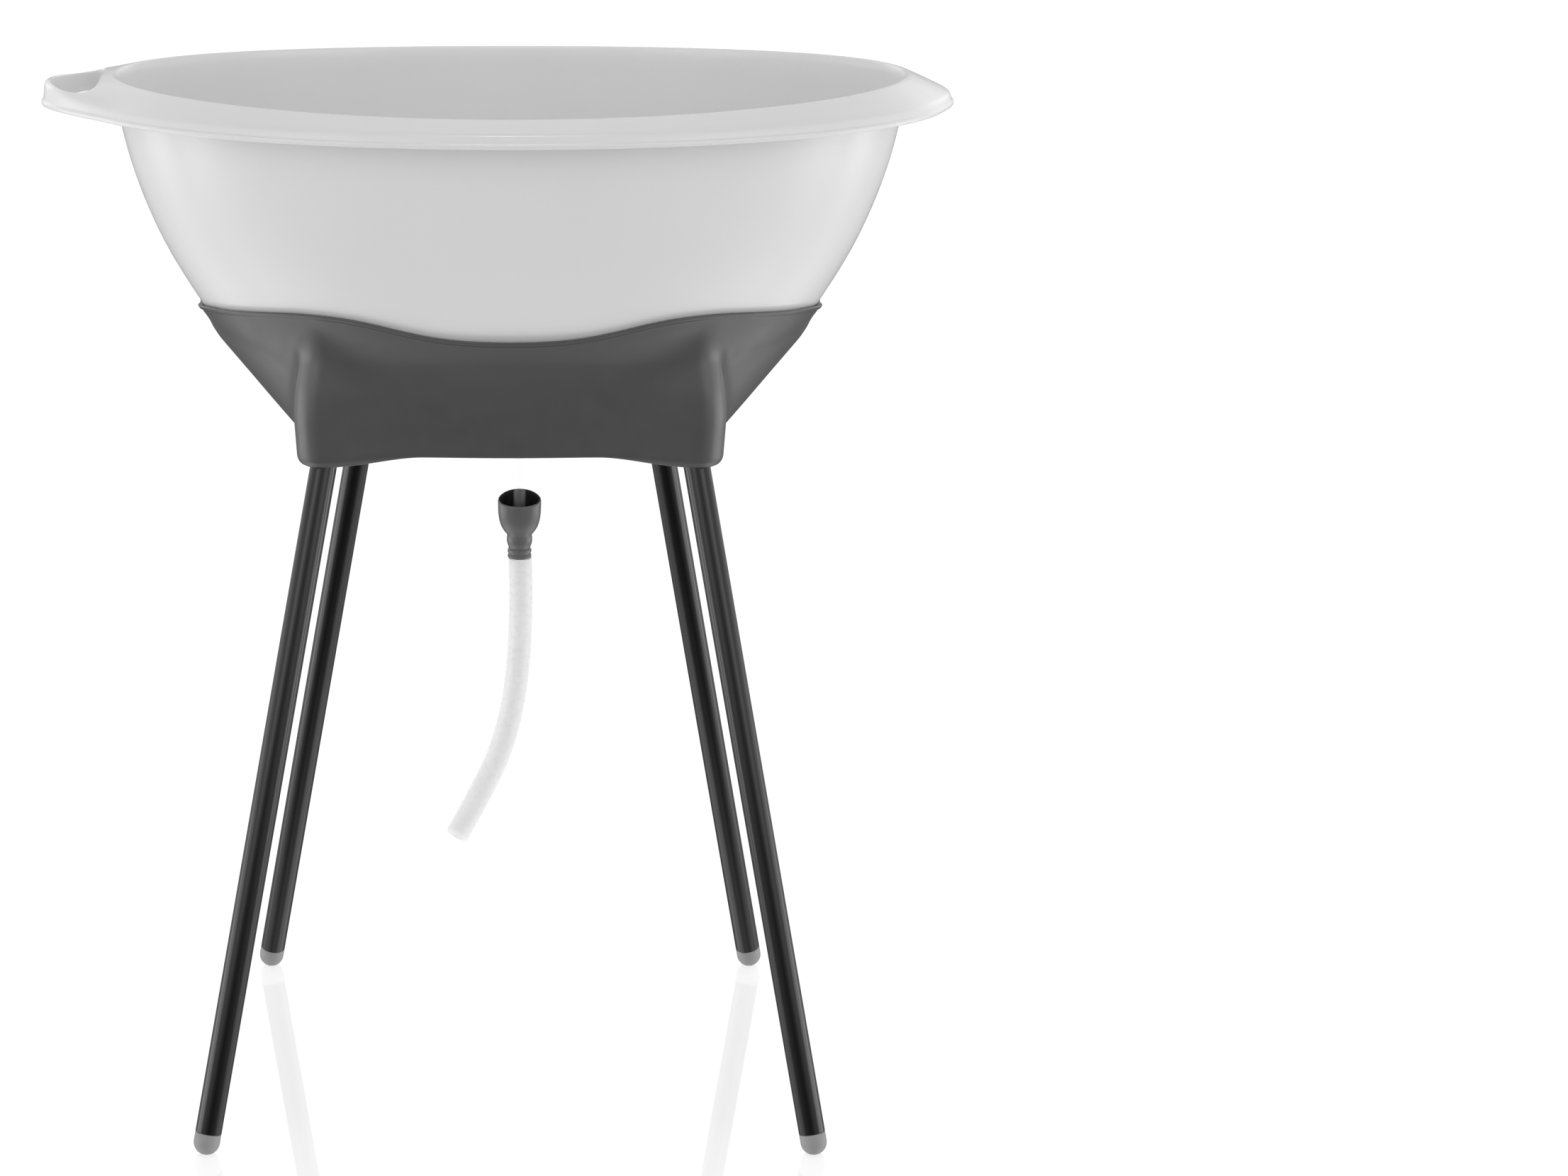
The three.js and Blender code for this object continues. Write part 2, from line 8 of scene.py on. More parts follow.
import bmesh
import bpy
import numpy as np
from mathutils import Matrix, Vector

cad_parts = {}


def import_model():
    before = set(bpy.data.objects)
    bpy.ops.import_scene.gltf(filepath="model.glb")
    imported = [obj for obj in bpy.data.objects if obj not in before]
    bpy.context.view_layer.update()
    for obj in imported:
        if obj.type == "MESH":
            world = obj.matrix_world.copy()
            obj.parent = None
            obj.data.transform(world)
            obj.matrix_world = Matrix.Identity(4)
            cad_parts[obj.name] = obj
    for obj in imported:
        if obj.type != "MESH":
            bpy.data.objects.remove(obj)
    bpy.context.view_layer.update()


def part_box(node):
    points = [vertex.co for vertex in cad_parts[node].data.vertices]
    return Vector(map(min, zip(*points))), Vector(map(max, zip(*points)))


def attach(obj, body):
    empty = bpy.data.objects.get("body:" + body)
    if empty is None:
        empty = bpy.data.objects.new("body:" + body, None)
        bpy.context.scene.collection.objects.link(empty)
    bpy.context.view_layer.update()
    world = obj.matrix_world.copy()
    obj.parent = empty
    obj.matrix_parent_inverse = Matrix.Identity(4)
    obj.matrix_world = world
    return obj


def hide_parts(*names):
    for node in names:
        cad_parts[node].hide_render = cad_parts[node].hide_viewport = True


MM = 0.001
GAP = 0.3  # between pieces that touch
MERGE = 1e-6  # points nearer than this, in metres, are one
TUB_SEGMENTS = 288
CRADLE_SEGMENTS = 360
ROUND_SEGMENTS = 56

# ---- The tub's shape ----

TUB_WALL = 3
FLOOR_BOTTOM = 690
# Half the tub's outer length at each height, from the floor's edge up to the deck.
WALL_CURVE = [
    [150, 690],
    [186, 692.5],
    [211, 700.5],
    [242, 719],
    [266.5, 740.5],
    [283, 758.7],
    [302.4, 787.7],
    [325, 826.1],
    [342.6, 864.4],
    [356.5, 903.1],
    [366.2, 941],
    [370.2, 966],
]
WALL_ROWS = 72
SLENDER = {"top": 0.5727, "top_height": 980, "bottom": 0.61, "bottom_height": 768}
ROUNDNESS = {"rim": 2.0, "body": 2.2, "rim_height": 980, "body_height": 790}
EAR = {"reach": 29, "half_width": 115, "lift": 10}
NOSE = {"reach": 5, "half_width": 60}
EAR_FROM = -350  # the ear lies beyond this X
HAND_HOLE = {
    "x": -407.5,
    "bend": 13,
    "half_length": 23.5,
    "half_width": 62,
    "wall": 3,
    "bottom": 961.5,
}
HOLE_MARGIN = {"deck": 4.2, "under": 6.0}  # how far round the hand hole the rim's faces are taken away
HOLE_CLEAR = {"deck": 3.4, "under": 3.8}  # least distance of the rim's points from the hand hole

# The rim from the top of the outer wall, round the skirt and over the deck, to the inside of the lip: half
# length, half width, height, rise of the ends, share of the ear's bulge, share of its lift, corner radius.
RIM = [
    [371.6, 213.4, 973, 5, 0, 0, 3],
    [376.5, 217.4, 976.6, 7.6, 0.05, 0, 2],
    [391, 232.5, 973, 4.4, 0.5, 0.5, 4],
    [403.6, 245, 969.4, 0.6, 0.95, 0.9, 2],
    [406.6, 248, 966, 0, 1, 0, 2],
    [408.4, 249.8, 959.7, 0, 1, 0, 0.5],
    [411.6, 253, 960, 0, 1, 0, 1.3],
    [412.2, 253.7, 962, 0, 1, 0, 1.3],
    [411.8, 253.3, 964.2, 0, 1, 0, 0.8],
    [410, 251.2, 965, 0, 1, 0, 0.6],
    [409.2, 250.2, 968.6, 0, 1, 0.8, 1.5],
    [407.8, 248.8, 971.6, 0, 1, 1, 2.2],
    [403, 244.6, 973.3, 1.2, 0.93, 0.95, 2.6],
    [391, 232.5, 976.3, 4.8, 0.5, 0.5, 5],
    [377, 217.6, 979.9, 8.2, 0.08, 0, 2.5],
    [373, 213.6, 980.6, 8.5, 0, 0, 1.6],
    [370.6, 211.4, 979.4, 8.5, 0, 0, 1.3],
    [369.2, 210.4, 975, 8, 0, 0, 2.2],
    [367.6, 209.4, 966, 4, 0, 0, 3],
]
# The rows of RIM that make the deck's top, and those that make the underside of the rim.
FIRST_DECK_ROW = 9
LAST_DECK_ROW = 15
FIRST_UNDER_ROW = 1
LAST_UNDER_ROW = 4

# ---- The cradle's shape ----

NEST_GAP = 1.0
CRADLE_WALL = 4
CRADLE_EDGE = 4
# Half length, half width and height of the oval, and below it of the box.
CRADLE_CURVE = [
    [196, 140, 640],
    [213, 146, 660],
    [229.6, 152, 680],
    [245.9, 158, 700],
    [278.6, 172, 740],
    [284.3, 174.9, 749],
    [288.6, 178.6, 758.7],
]
HUG_FROM = 735  # above this height the cradle follows the tub's wall
BOX_CURVE = [
    [197.8, 158, 640],
    [201.2, 157, 690],
    [199.5, 156, 715],
    [193, 150, 760],
    [185, 142, 790],
]
BOX_CORNER = 24  # round corners about the legs
CORNER_ANGLE = 0.675  # of the corner posts, seen from the middle, in radians
FILLET = {"side": 7, "front": 34}  # width of the blend between the oval and the box
NEST_FROM = 700  # the cradle's inside clears the tub's wall above this height
LIP_START = 5.2  # how far below the top edge the rounded lip starts
# The lip's outline: height above the top edge, and how far out.
LIP = [
    (-4.6, 0.1),
    (-4.1, 0.5),
    (-3.6, 1.0),
    (-3.0, 1.3),
    (-1.8, 1.45),
    (-0.9, 1.3),
    (-0.3, 0.9),
    (0, 0.2),
]
# Height of the top edge at each angle round the oval, in degrees from its long axis.
TOP_EDGE = [
    [768.5, 0],
    [773.5, 12],
    [778.8, 22],
    [782.2, 32],
    [786.7, 42],
    [789.7, 50],
    [790, 55],
    [788.8, 60],
    [785.2, 65],
    [779.5, 70],
    [774.3, 75],
    [771, 80],
    [769.5, 85],
    [769.1, 90],
]
BOTTOM_EDGE = {"middle": 655, "corner": 643.5, "half_angle": 0.42, "radius": 9, "tuck": 7.2}
SOCKET = {"wall": 3, "top": 3, "mouth": 646.5}
RIB = {"low": 658, "high": 690, "thickness": 3, "reach_x": 197, "reach_y": 155.5}

# ---- Legs, drain and hose ----

LEG = {"outer": 12.5, "inner": 11.5, "cap_height": 9}
FOOT_HEIGHT = 11.5  # centre of the round foot, so that its end is cut to a small flat on the floor
# Name, side, depth, foot, a point higher up the axis, and the top of the socket.
LEGS = [
    ("front_left", -1, -1, (287, 250), (174.8, 135, 636.2), 706),
    ("front_right", 1, -1, (287, 250), (174.8, 135, 636.2), 706),
    ("rear_left", -1, 1, (252, 250), (155.3, 150, 563.7), 700),
    ("rear_right", 1, 1, (252, 250), (155.3, 150, 563.7), 700),
]
DRAIN_X = 9
DRAIN = {"hole": 16, "shank": 15.7, "flange": 24, "bowl": 13, "bore": 8.8, "bar": 2, "nut": 26.5}
PIPE = {"outer": 6, "inner": 4.8, "top": 674, "bottom": 531}
HOSE_RADIUS = 11.4
HOSE_WALL = 1.5
HOSE_RINGS = 150
# X and height of points down the middle of the hanging hose.
HOSE_ROUTE = [
    (9.6, 515.2),
    (10.2, 497),
    (10.4, 482),
    (10.3, 466),
    (9.8, 447),
    (8.9, 425),
    (7.2, 402),
    (4, 376),
    (-1, 350),
    (-7.6, 326),
    (-15.8, 304),
    (-25.2, 284),
    (-34.6, 265.5),
    (-44.2, 247),
    (-52.4, 231.5),
]


def centre_x():
    """The tub's own centre line in the row frame, in millimetres."""
    low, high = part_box("cradle")
    return (low.x + high.x) / 2 / MM


# ---- Curves ----


def catmull_rom(points, count):
    """Points spread evenly in parameter along a smooth curve through the given rows."""
    p = np.asarray(points, float)
    out = []
    for t in np.linspace(0, len(p) - 1, count):
        i = min(int(t), len(p) - 2)
        u = t - i
        p0, p1, p2, p3 = p[max(i - 1, 0)], p[i], p[i + 1], p[min(i + 2, len(p) - 1)]
        v0, v1 = (p2 - p0) / 2, (p3 - p1) / 2
        cubic = (2 * p1 - 2 * p2 + v0 + v1) * u**3 + (3 * p2 - 3 * p1 - 2 * v0 - v1) * u**2
        out.append(cubic + v0 * u + p1)
    return np.array(out)


def relax(rows, rounds):
    """Evens a line of rows, its ends held."""
    rows = rows.copy()
    for _ in range(rounds):
        rows[1:-1] = (rows[:-2] + 2 * rows[1:-1] + rows[2:]) / 4
    return rows


def soften(rows, radii, steps=4, closed=False):
    """Rounds the corners of a line of rows, each by its own radius."""
    rows = [np.asarray(r, float) for r in rows]
    out = []
    count = len(rows)
    for i, row in enumerate(rows):
        if not closed and i in (0, count - 1) or radii[i] <= 0:
            out.append(row)
            continue
        before, after = rows[i - 1], rows[(i + 1) % count]
        span_in = np.linalg.norm((before - row)[:3])
        span_out = np.linalg.norm((after - row)[:3])
        start = row + (before - row) * min(radii[i] / span_in, 0.49)
        end = row + (after - row) * min(radii[i] / span_out, 0.49)
        for t in np.linspace(0, 1, steps + 1):
            out.append(start * (1 - t) ** 2 + 2 * row * t * (1 - t) + end * t**2)
    return out


def smooth_max(a, b, width):
    share = np.clip(0.5 + 0.5 * (a - b) / width, 0, 1)
    return b + (a - b) * share + width * share * (1 - share)


# ---- Meshes ----


def make_mesh(name, vertices, faces, sharp_angle):
    """A smooth-shaded object from points in millimetres about the tub's centre line."""
    mesh = bpy.data.meshes.new(name)
    points = np.asarray(vertices, float).reshape(-1, 3) + np.array([centre_x(), 0, 0])
    mesh.from_pydata((points * MM).tolist(), [], [list(map(int, f)) for f in faces])
    clean_mesh(mesh)
    mesh.polygons.foreach_set("use_smooth", [True] * len(mesh.polygons))
    mesh.set_sharp_from_angle(angle=math.radians(sharp_angle))
    piece = bpy.data.objects.new(name, mesh)
    bpy.context.scene.collection.objects.link(piece)
    return piece


def clean_mesh(mesh):
    """Joins doubled points, removes empty faces and turns every face outward."""
    work = bmesh.new()
    work.from_mesh(mesh)
    bmesh.ops.remove_doubles(work, verts=work.verts, dist=MERGE)
    bmesh.ops.dissolve_degenerate(work, edges=work.edges, dist=MERGE)
    bmesh.ops.recalc_face_normals(work, faces=work.faces)
    work.to_mesh(mesh)
    work.free()
    mesh.update()


def grid_faces(rows, columns, closed_rows=False):
    """Quads of a grid whose columns go round."""
    faces = []
    for i in range(rows if closed_rows else rows - 1):
        low, high = i * columns, ((i + 1) % rows) * columns
        for j in range(columns):
            k = (j + 1) % columns
            faces.append((low + j, low + k, high + k, high + j))
    return faces


def make_box(name, corners):
    """A box from its eight corners: X changes first along the list, then Y, then Z."""
    faces = [(0, 1, 3, 2), (4, 6, 7, 5), (0, 4, 5, 1), (2, 3, 7, 6), (0, 2, 6, 4), (1, 5, 7, 3)]
    return make_mesh(name, corners, faces, 30)


def angles(count):
    return np.arange(count) * 2 * math.pi / count


def turned_points(profile, segments):
    """Rings of a turned shape about the Z axis, from [radius, height] pairs."""
    turn = angles(segments)
    return np.array([[(r * math.cos(a), r * math.sin(a), z) for a in turn] for r, z in profile])


def turned(name, profile, radii=None, place=None):
    """A turned piece. The profile is a closed loop, or runs from the axis to the axis."""
    closed = profile[0][0] > 0
    radii = radii or [0] * len(profile)
    rows = soften(profile, radii, 3, closed)
    points = turned_points(rows, ROUND_SEGMENTS)
    if place is not None:
        points = place(points)
    return make_mesh(name, points, grid_faces(len(rows), ROUND_SEGMENTS, closed), 40)


# ---- Tub ----


def slenderness(height):
    share = (height - SLENDER["bottom_height"]) / (SLENDER["top_height"] - SLENDER["bottom_height"])
    return SLENDER["bottom"] + (SLENDER["top"] - SLENDER["bottom"]) * np.clip(share, 0, 1)


def roundness(height):
    share = (height - ROUNDNESS["body_height"]) / (ROUNDNESS["rim_height"] - ROUNDNESS["body_height"])
    return ROUNDNESS["body"] + (ROUNDNESS["rim"] - ROUNDNESS["body"]) * np.clip(share, 0, 1)


def wall_line():
    """The outer wall as even rows: half length, half width, height, roundness."""
    line = relax(catmull_rom(WALL_CURVE, 360), 90)
    step = np.concatenate([[0], np.cumsum(np.hypot(*np.diff(line, axis=0).T))])
    even = np.linspace(0, step[-1], WALL_ROWS)
    x, z = (np.interp(even, step, line[:, k]) for k in (0, 1))
    rows = np.stack([x, x * slenderness(z), z, roundness(z)], axis=1)
    return relax(rows, 6)


def wall_rows(thickness):
    """Rows of the tub's wall as ring parameters, moved inwards by a thickness."""
    line = wall_line()
    along = np.gradient(line[:, [0, 2]], axis=0)
    along /= np.linalg.norm(along, axis=1)[:, None]
    x = line[:, 0] - along[:, 1] * thickness
    width = line[:, 1] - along[:, 1] * thickness
    z = line[:, 2] + along[:, 0] * thickness
    zero = np.zeros(len(line))
    return np.stack([x, width, z, zero, zero, zero, line[:, 3]], axis=1)


def rim_rows():
    """Softened rows of the rim."""
    table = [row[:6] + [float(roundness(row[2]))] for row in RIM]
    return np.array(soften(table, [r[6] for r in RIM], 4))


def bulge(y, half_width):
    return np.clip(1 - (y / half_width) ** 2, 0, 1) ** 2


def tub_points(rows, turn):
    """Points of rings, as an array of rings by angles."""
    length, width, height, rise, reach, lift, power = (np.asarray(rows).T[k][:, None] for k in range(7))
    c, s = np.cos(turn)[None, :], np.sin(turn)[None, :]
    y = width * np.sign(s) * np.abs(s) ** (2 / power)
    x = length * np.sign(c) * np.abs(c) ** (2 / power)
    ear = bulge(y, EAR["half_width"]) * (x < 0)
    nose = bulge(y, NOSE["half_width"]) * (x >= 0)
    x = x - EAR["reach"] * reach * ear + NOSE["reach"] * reach * nose
    z = height + rise * c * c + EAR["lift"] * lift * ear
    return np.stack([x, y, z], axis=2)


def surface_height(rows, x, y):
    """Height of the ear's top or underside at a point, from the rows that make it."""
    width, power = rows[:, 1], rows[:, 6]
    share = np.clip(abs(y) / width, 0, 1) ** (power / 2)
    turn = math.pi - np.sign(y) * np.arcsin(share)
    picked = np.array([tub_points(rows[k : k + 1], turn[k : k + 1])[0, 0] for k in range(len(rows))])
    order = np.argsort(-picked[:, 0])
    return float(np.interp(-x, -picked[order, 0], picked[order, 2]))


def hole_place(x, y, margin=0.0):
    """Angle round the hand hole, and how far out a point is: 1 is on the hole's edge plus the margin."""
    along = (y / (HAND_HOLE["half_width"] + margin)) ** 2
    middle = HAND_HOLE["x"] + HAND_HOLE["bend"] * min(along, 1.6)
    u = (x - middle) / (HAND_HOLE["half_length"] + margin)
    v = y / (HAND_HOLE["half_width"] + margin)
    return math.atan2(v, u), math.hypot(u, v)


def hole_point(turn, inset):
    x = HAND_HOLE["x"] + HAND_HOLE["bend"] * math.sin(turn) ** 2
    x += (HAND_HOLE["half_length"] + inset) * math.cos(turn)
    return x, (HAND_HOLE["half_width"] + inset) * math.sin(turn)


def zip_loops(a, b):
    """Triangles between two loops given as sorted (angle, index) pairs."""
    faces = []
    i = j = 0
    while i < len(a) or j < len(b):
        next_a = a[(i + 1) % len(a)][0] + (2 * math.pi if i + 1 >= len(a) else 0)
        next_b = b[(j + 1) % len(b)][0] + (2 * math.pi if j + 1 >= len(b) else 0)
        ia, ib = a[i % len(a)][1], b[j % len(b)][1]
        if j >= len(b) or (i < len(a) and next_a <= next_b):
            faces.append((ia, a[(i + 1) % len(a)][1], ib))
            i += 1
        else:
            faces.append((ia, b[(j + 1) % len(b)][1], ib))
            j += 1
    return faces


def trace_loop(edges, turn):
    """Follows edges round the hole, and returns (angle, index) pairs in order with no jump in the angle."""
    links = {}
    for a, b in edges:
        links.setdefault(a, []).append(b)
        links.setdefault(b, []).append(a)
    here = min(links, key=lambda v: turn[v])
    before = max(links[here], key=lambda v: turn[v])
    loop = []
    while not loop or here != loop[0][1]:
        angle = turn[here]
        if loop and angle < loop[-1][0] - math.pi:
            angle += 2 * math.pi
        loop.append((angle, here))
        before, here = here, next(v for v in links[here] if v != before)
    return loop


def punch(points, faces, row_range, columns, margin):
    """Removes the faces of some rows round the hand hole. Returns the faces kept and the hole's loop."""
    flat = points.reshape(-1, 3)
    kept, cut = [], []
    low, high = row_range
    for face in faces:
        row = min(face) // columns
        inside = False
        if low <= row < high:
            x, y, _ = flat[list(face)].mean(axis=0)
            inside = x < EAR_FROM and hole_place(x, y, margin)[1] < 1
        (cut if inside else kept).append(face)
    used = {}
    for face in cut:
        for k in range(4):
            edge = frozenset((face[k], face[(k + 1) % 4]))
            used[edge] = used.get(edge, 0) + 1
    border = [tuple(edge) for edge, n in used.items() if n == 1 and len(edge) == 2]
    return kept, trace_loop(border, {v: hole_place(*flat[v][:2])[0] for edge in border for v in edge})


def clear_edge(vertices, loop, rows, inset):
    """Moves the loop's points that are too near the hand hole's edge outward, along the surface."""
    for _, index in loop:
        x, y, _ = vertices[index]
        turn, away = hole_place(x, y, inset)
        if away < 1:
            x, y = hole_point(turn, inset)
            vertices[index] = np.array([x, y, surface_height(rows, x, y)])


def build_tub():
    outside, inside, rim = wall_rows(0), wall_rows(TUB_WALL)[:-1][::-1], rim_rows()
    pole_low = np.array([[0, 0, FLOOR_BOTTOM, 0, 0, 0, 2.0]])
    pole_high = np.array([[0, 0, FLOOR_BOTTOM + TUB_WALL, 0, 0, 0, 2.0]])
    hub_low, hub_high = floor_hub(outside[0]), floor_hub(inside[-1])[::-1]
    rows = np.concatenate([pole_low, hub_low, outside, rim, inside, hub_high, pole_high])
    turn = angles(TUB_SEGMENTS)
    points = tub_points(rows, turn)
    faces = grid_faces(len(rows), TUB_SEGMENTS)
    first = 1 + len(hub_low) + len(outside)
    spans = row_spans(first)
    vertices = list(points.reshape(-1, 3))
    faces, top_loop = punch(points, faces, spans["deck"], TUB_SEGMENTS, HOLE_MARGIN["deck"])
    faces, under_loop = punch(points, faces, spans["under"], TUB_SEGMENTS, HOLE_MARGIN["under"])
    deck = rows[spans["deck"][0] : spans["deck"][1] + 1]
    under = rows[spans["under"][0] : spans["under"][1] + 1]
    clear_edge(vertices, top_loop, deck, HOLE_CLEAR["deck"])
    clear_edge(vertices, under_loop, under, HOLE_CLEAR["under"])
    collar_faces = add_collar(vertices, deck, under, top_loop, under_loop)
    tub = make_mesh("tub_shell_smooth", vertices, faces + collar_faces, 50)
    cut_drain_hole(tub)
    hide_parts("tub_shell")
    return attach(tub, "tub")


def floor_hub(edge):
    """Rings across the flat floor, inside a wall's lowest ring."""
    shares = np.array([0.12, 0.35, 0.6, 0.82])[:, None]
    rows = np.repeat(edge[None, :], len(shares), axis=0)
    rows[:, :2] *= shares
    return rows


def row_spans(first):
    """Grid rows of the deck and of the rim's underside, after softening."""
    starts = []
    at = first
    for i, row in enumerate(RIM):
        starts.append(at)
        at += 1 if i in (0, len(RIM) - 1) or row[6] <= 0 else 5
    return {
        "deck": (starts[FIRST_DECK_ROW], starts[LAST_DECK_ROW] + 2),
        "under": (starts[FIRST_UNDER_ROW], starts[LAST_UNDER_ROW] + 2),
    }


def add_collar(vertices, deck, under, top_loop, under_loop):
    """The hand hole's rounded edge and its wall, joined to the deck and to the underside."""
    count = 128
    turn = [-math.pi + 2 * math.pi * (k + 0.5) / count for k in range(count)]
    bottom = HAND_HOLE["bottom"]
    roll = 2.4
    rings = []
    for share in np.linspace(0, 1, 7):
        inset = roll * (1 - math.sin(share * math.pi / 2))
        rings.append(("top", inset, roll * (1 - math.cos(share * math.pi / 2))))
    rings += [("low", 0, 6.0), ("low", 0, 1.0), ("low", 0.6, 0.2), ("low", 1.5, 0)]
    rings += [("low", 2.4, 0.2), ("low", HAND_HOLE["wall"], 1.0), ("under", HAND_HOLE["wall"], 0.6)]
    starts = []
    for kind, inset, drop in rings:
        starts.append(len(vertices))
        for a in turn:
            x, y = hole_point(a, inset)
            if kind == "top":
                z = surface_height(deck, x, y) - drop
            elif kind == "under":
                z = surface_height(under, x, y)
            else:
                z = bottom + drop
            vertices.append(np.array([x, y, z]))
    faces = []
    for a, b in zip(starts[:-1], starts[1:]):
        for j in range(count):
            k = (j + 1) % count
            faces.append((a + j, a + k, b + k, b + j))
    faces += zip_loops(top_loop, [(t, starts[0] + j) for j, t in enumerate(turn)])
    faces += zip_loops(under_loop, [(t, starts[-1] + j) for j, t in enumerate(turn)])
    return faces


def cut_drain_hole(tub):
    """Drills the drain's hole, which the drain's flange and nut then cover."""
    reach = 15
    profile = [[0, -reach], [DRAIN["hole"], -reach], [DRAIN["hole"], reach], [0, reach]]

    def at_floor(points):
        return points + np.array([DRAIN_X, 0, FLOOR_BOTTOM])

    cutter = turned("drain_cutter", profile, place=at_floor)
    drill = tub.modifiers.new("drain_hole", "BOOLEAN")
    drill.operation, drill.object, drill.solver = "DIFFERENCE", cutter, "EXACT"
    apply_modifiers(tub)
    bpy.data.objects.remove(cutter)


def apply_modifiers(piece):
    bpy.context.view_layer.update()
    evaluated = piece.evaluated_get(bpy.context.evaluated_depsgraph_get())
    mesh = bpy.data.meshes.new_from_object(evaluated)
    piece.modifiers.clear()
    piece.data = mesh
    mesh.name = piece.name


# ---- Cradle ----


def superellipse(half_x, half_y, power, turn):
    x = np.abs(np.cos(turn) / half_x) ** power
    y = np.abs(np.sin(turn) / half_y) ** power
    return (x + y) ** (-1 / power)


def rounded_box(half_x, half_y, corner, turn):
    """Distance from the centre line to a rectangle with round corners, at an angle."""
    x, y = np.abs(np.cos(turn)), np.abs(np.sin(turn))
    middle_x, middle_y = half_x - corner, half_y - corner
    along = x * middle_x + y * middle_y
    arc = along + np.sqrt(np.maximum(corner**2 - middle_x**2 - middle_y**2 + along**2, 0))
    side_x = half_x / np.maximum(x, 1e-9)
    side_y = half_y / np.maximum(y, 1e-9)
    return np.where(y * half_x <= x * middle_y, side_x, np.where(x * half_y <= y * middle_x, side_y, arc))


class CradleShape:
    """Radii of the cradle at any height and angle, from evened copies of its tables."""

    def __init__(self):
        self.z = np.arange(630.0, 800.0, 1.0)
        wall = wall_line()
        self.tub = [np.interp(self.z, wall[:, 2], wall[:, k]) for k in (0, 1, 3)]
        self.oval = self.even(CRADLE_CURVE, 8)
        self.box = self.even(BOX_CURVE, 60)

    def even(self, table, rounds):
        table = np.array(table, float)
        columns = []
        for k in (0, 1):
            slope_low = (table[1, k] - table[0, k]) / (table[1, 2] - table[0, 2])
            slope_high = (table[-1, k] - table[-2, k]) / (table[-1, 2] - table[-2, 2])
            column = np.interp(self.z, table[:, 2], table[:, k])
            column += np.where(self.z < table[0, 2], slope_low * (self.z - table[0, 2]), 0)
            column += np.where(self.z > table[-1, 2], slope_high * (self.z - table[-1, 2]), 0)
            columns.append(relax(column[:, None], rounds)[:, 0])
        return columns

    def at(self, columns, z):
        return [np.interp(z, self.z, column) for column in columns]

    def tub_radius(self, z, turn):
        length, width, power = self.at(self.tub, z)
        return superellipse(length, width, power, turn)

    def radius(self, z, turn):
        hug = self.tub_radius(z, turn) + NEST_GAP + CRADLE_EDGE
        length, width = self.at(self.oval, z)
        flare = superellipse(length, width, 2, turn)
        oval = np.where(z < HUG_FROM, flare, smooth_max(hug, flare, 2.5))
        half_x, half_y = self.at(self.box, z)
        blend = FILLET["side"] + (FILLET["front"] - FILLET["side"]) * np.sin(turn) ** 2
        return smooth_max(oval, rounded_box(half_x, half_y, BOX_CORNER, turn), blend)


def top_edge(turn):
    """Height of the cradle's edge, from an evened copy of its table."""
    length, width, _ = CRADLE_CURVE[-1]
    height, degrees = relax(catmull_rom(TOP_EDGE, 300), 60).T
    place = np.degrees(np.arctan2(np.abs(np.sin(turn)) / width, np.abs(np.cos(turn)) / length))
    return np.interp(place, degrees, height)


def cradle_angles():
    """Angles round the cradle, closer together at the corner posts."""
    fine = np.linspace(0, 2 * math.pi, 4001)
    folded = np.arctan2(np.abs(np.sin(fine)), np.abs(np.cos(fine)))
    density = 1 + 2.5 * np.exp(-(((folded - CORNER_ANGLE) / 0.11) ** 2))
    total = np.concatenate([[0], np.cumsum((density[1:] + density[:-1]) / 2)])
    return np.interp(np.arange(CRADLE_SEGMENTS) * total[-1] / CRADLE_SEGMENTS, total, fine)


def corner_share(turn):
    folded = np.arctan2(np.abs(np.sin(turn)), np.abs(np.cos(turn)))
    away = np.minimum(1, np.abs(folded - CORNER_ANGLE) / BOTTOM_EDGE["half_angle"])
    return np.cos(math.pi / 2 * away) ** 2


def build_cradle(frames):
    shape = CradleShape()
    turn = cradle_angles()
    corner = corner_share(turn)
    low = BOTTOM_EDGE["middle"] + (BOTTOM_EDGE["corner"] - BOTTOM_EDGE["middle"]) * corner
    high = top_edge(turn)
    rings = []

    def ring(side, z, out):
        outer = shape.radius(z, turn)
        above = np.clip((z - low) / BOTTOM_EDGE["radius"], 0, 1)
        inset = BOTTOM_EDGE["tuck"] * corner * (1 - np.sqrt(1 - (1 - above) ** 2))
        nest = np.where(z > NEST_FROM, shape.tub_radius(z, turn) + NEST_GAP, 0)
        inner = np.maximum(outer - CRADLE_WALL, nest)
        r = outer - inset + out if side == "outer" else np.minimum(inner, outer - inset - 2) + out
        rings.append(np.stack([r * np.cos(turn), r * np.sin(turn), z], axis=1))

    ring("outer", low, -1.0)
    ring("outer", low + 0.4, -0.3)
    for share in np.concatenate([np.linspace(0.012, 0.09, 7), np.linspace(0.11, 1, 48) ** 0.95]):
        ring("outer", low + (high - LIP_START - low) * share, 0)
    for up, out in LIP:
        ring("outer", high + up, out)
    ring("inner", high, 0.9)
    ring("inner", high - 0.3, 0.3)
    for share in np.linspace(0.99, 0.01, 36):
        ring("inner", low + (high - low) * share, 0)
    ring("inner", low, 0.6)
    points = np.array(rings)
    cradle = make_mesh("cradle_smooth", points, grid_faces(len(rings), CRADLE_SEGMENTS, True), 60)
    sockets = build_sockets(frames)
    merge_into(cradle, sockets)
    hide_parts("cradle")
    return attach(cradle, "stand")


def merge_into(piece, others):
    """Adds the meshes of other objects to a piece and removes those objects."""
    work = bmesh.new()
    work.from_mesh(piece.data)
    for other in others:
        work.from_mesh(other.data)
        bpy.data.objects.remove(other)
    work.to_mesh(piece.data)
    work.free()


# ---- Legs ----


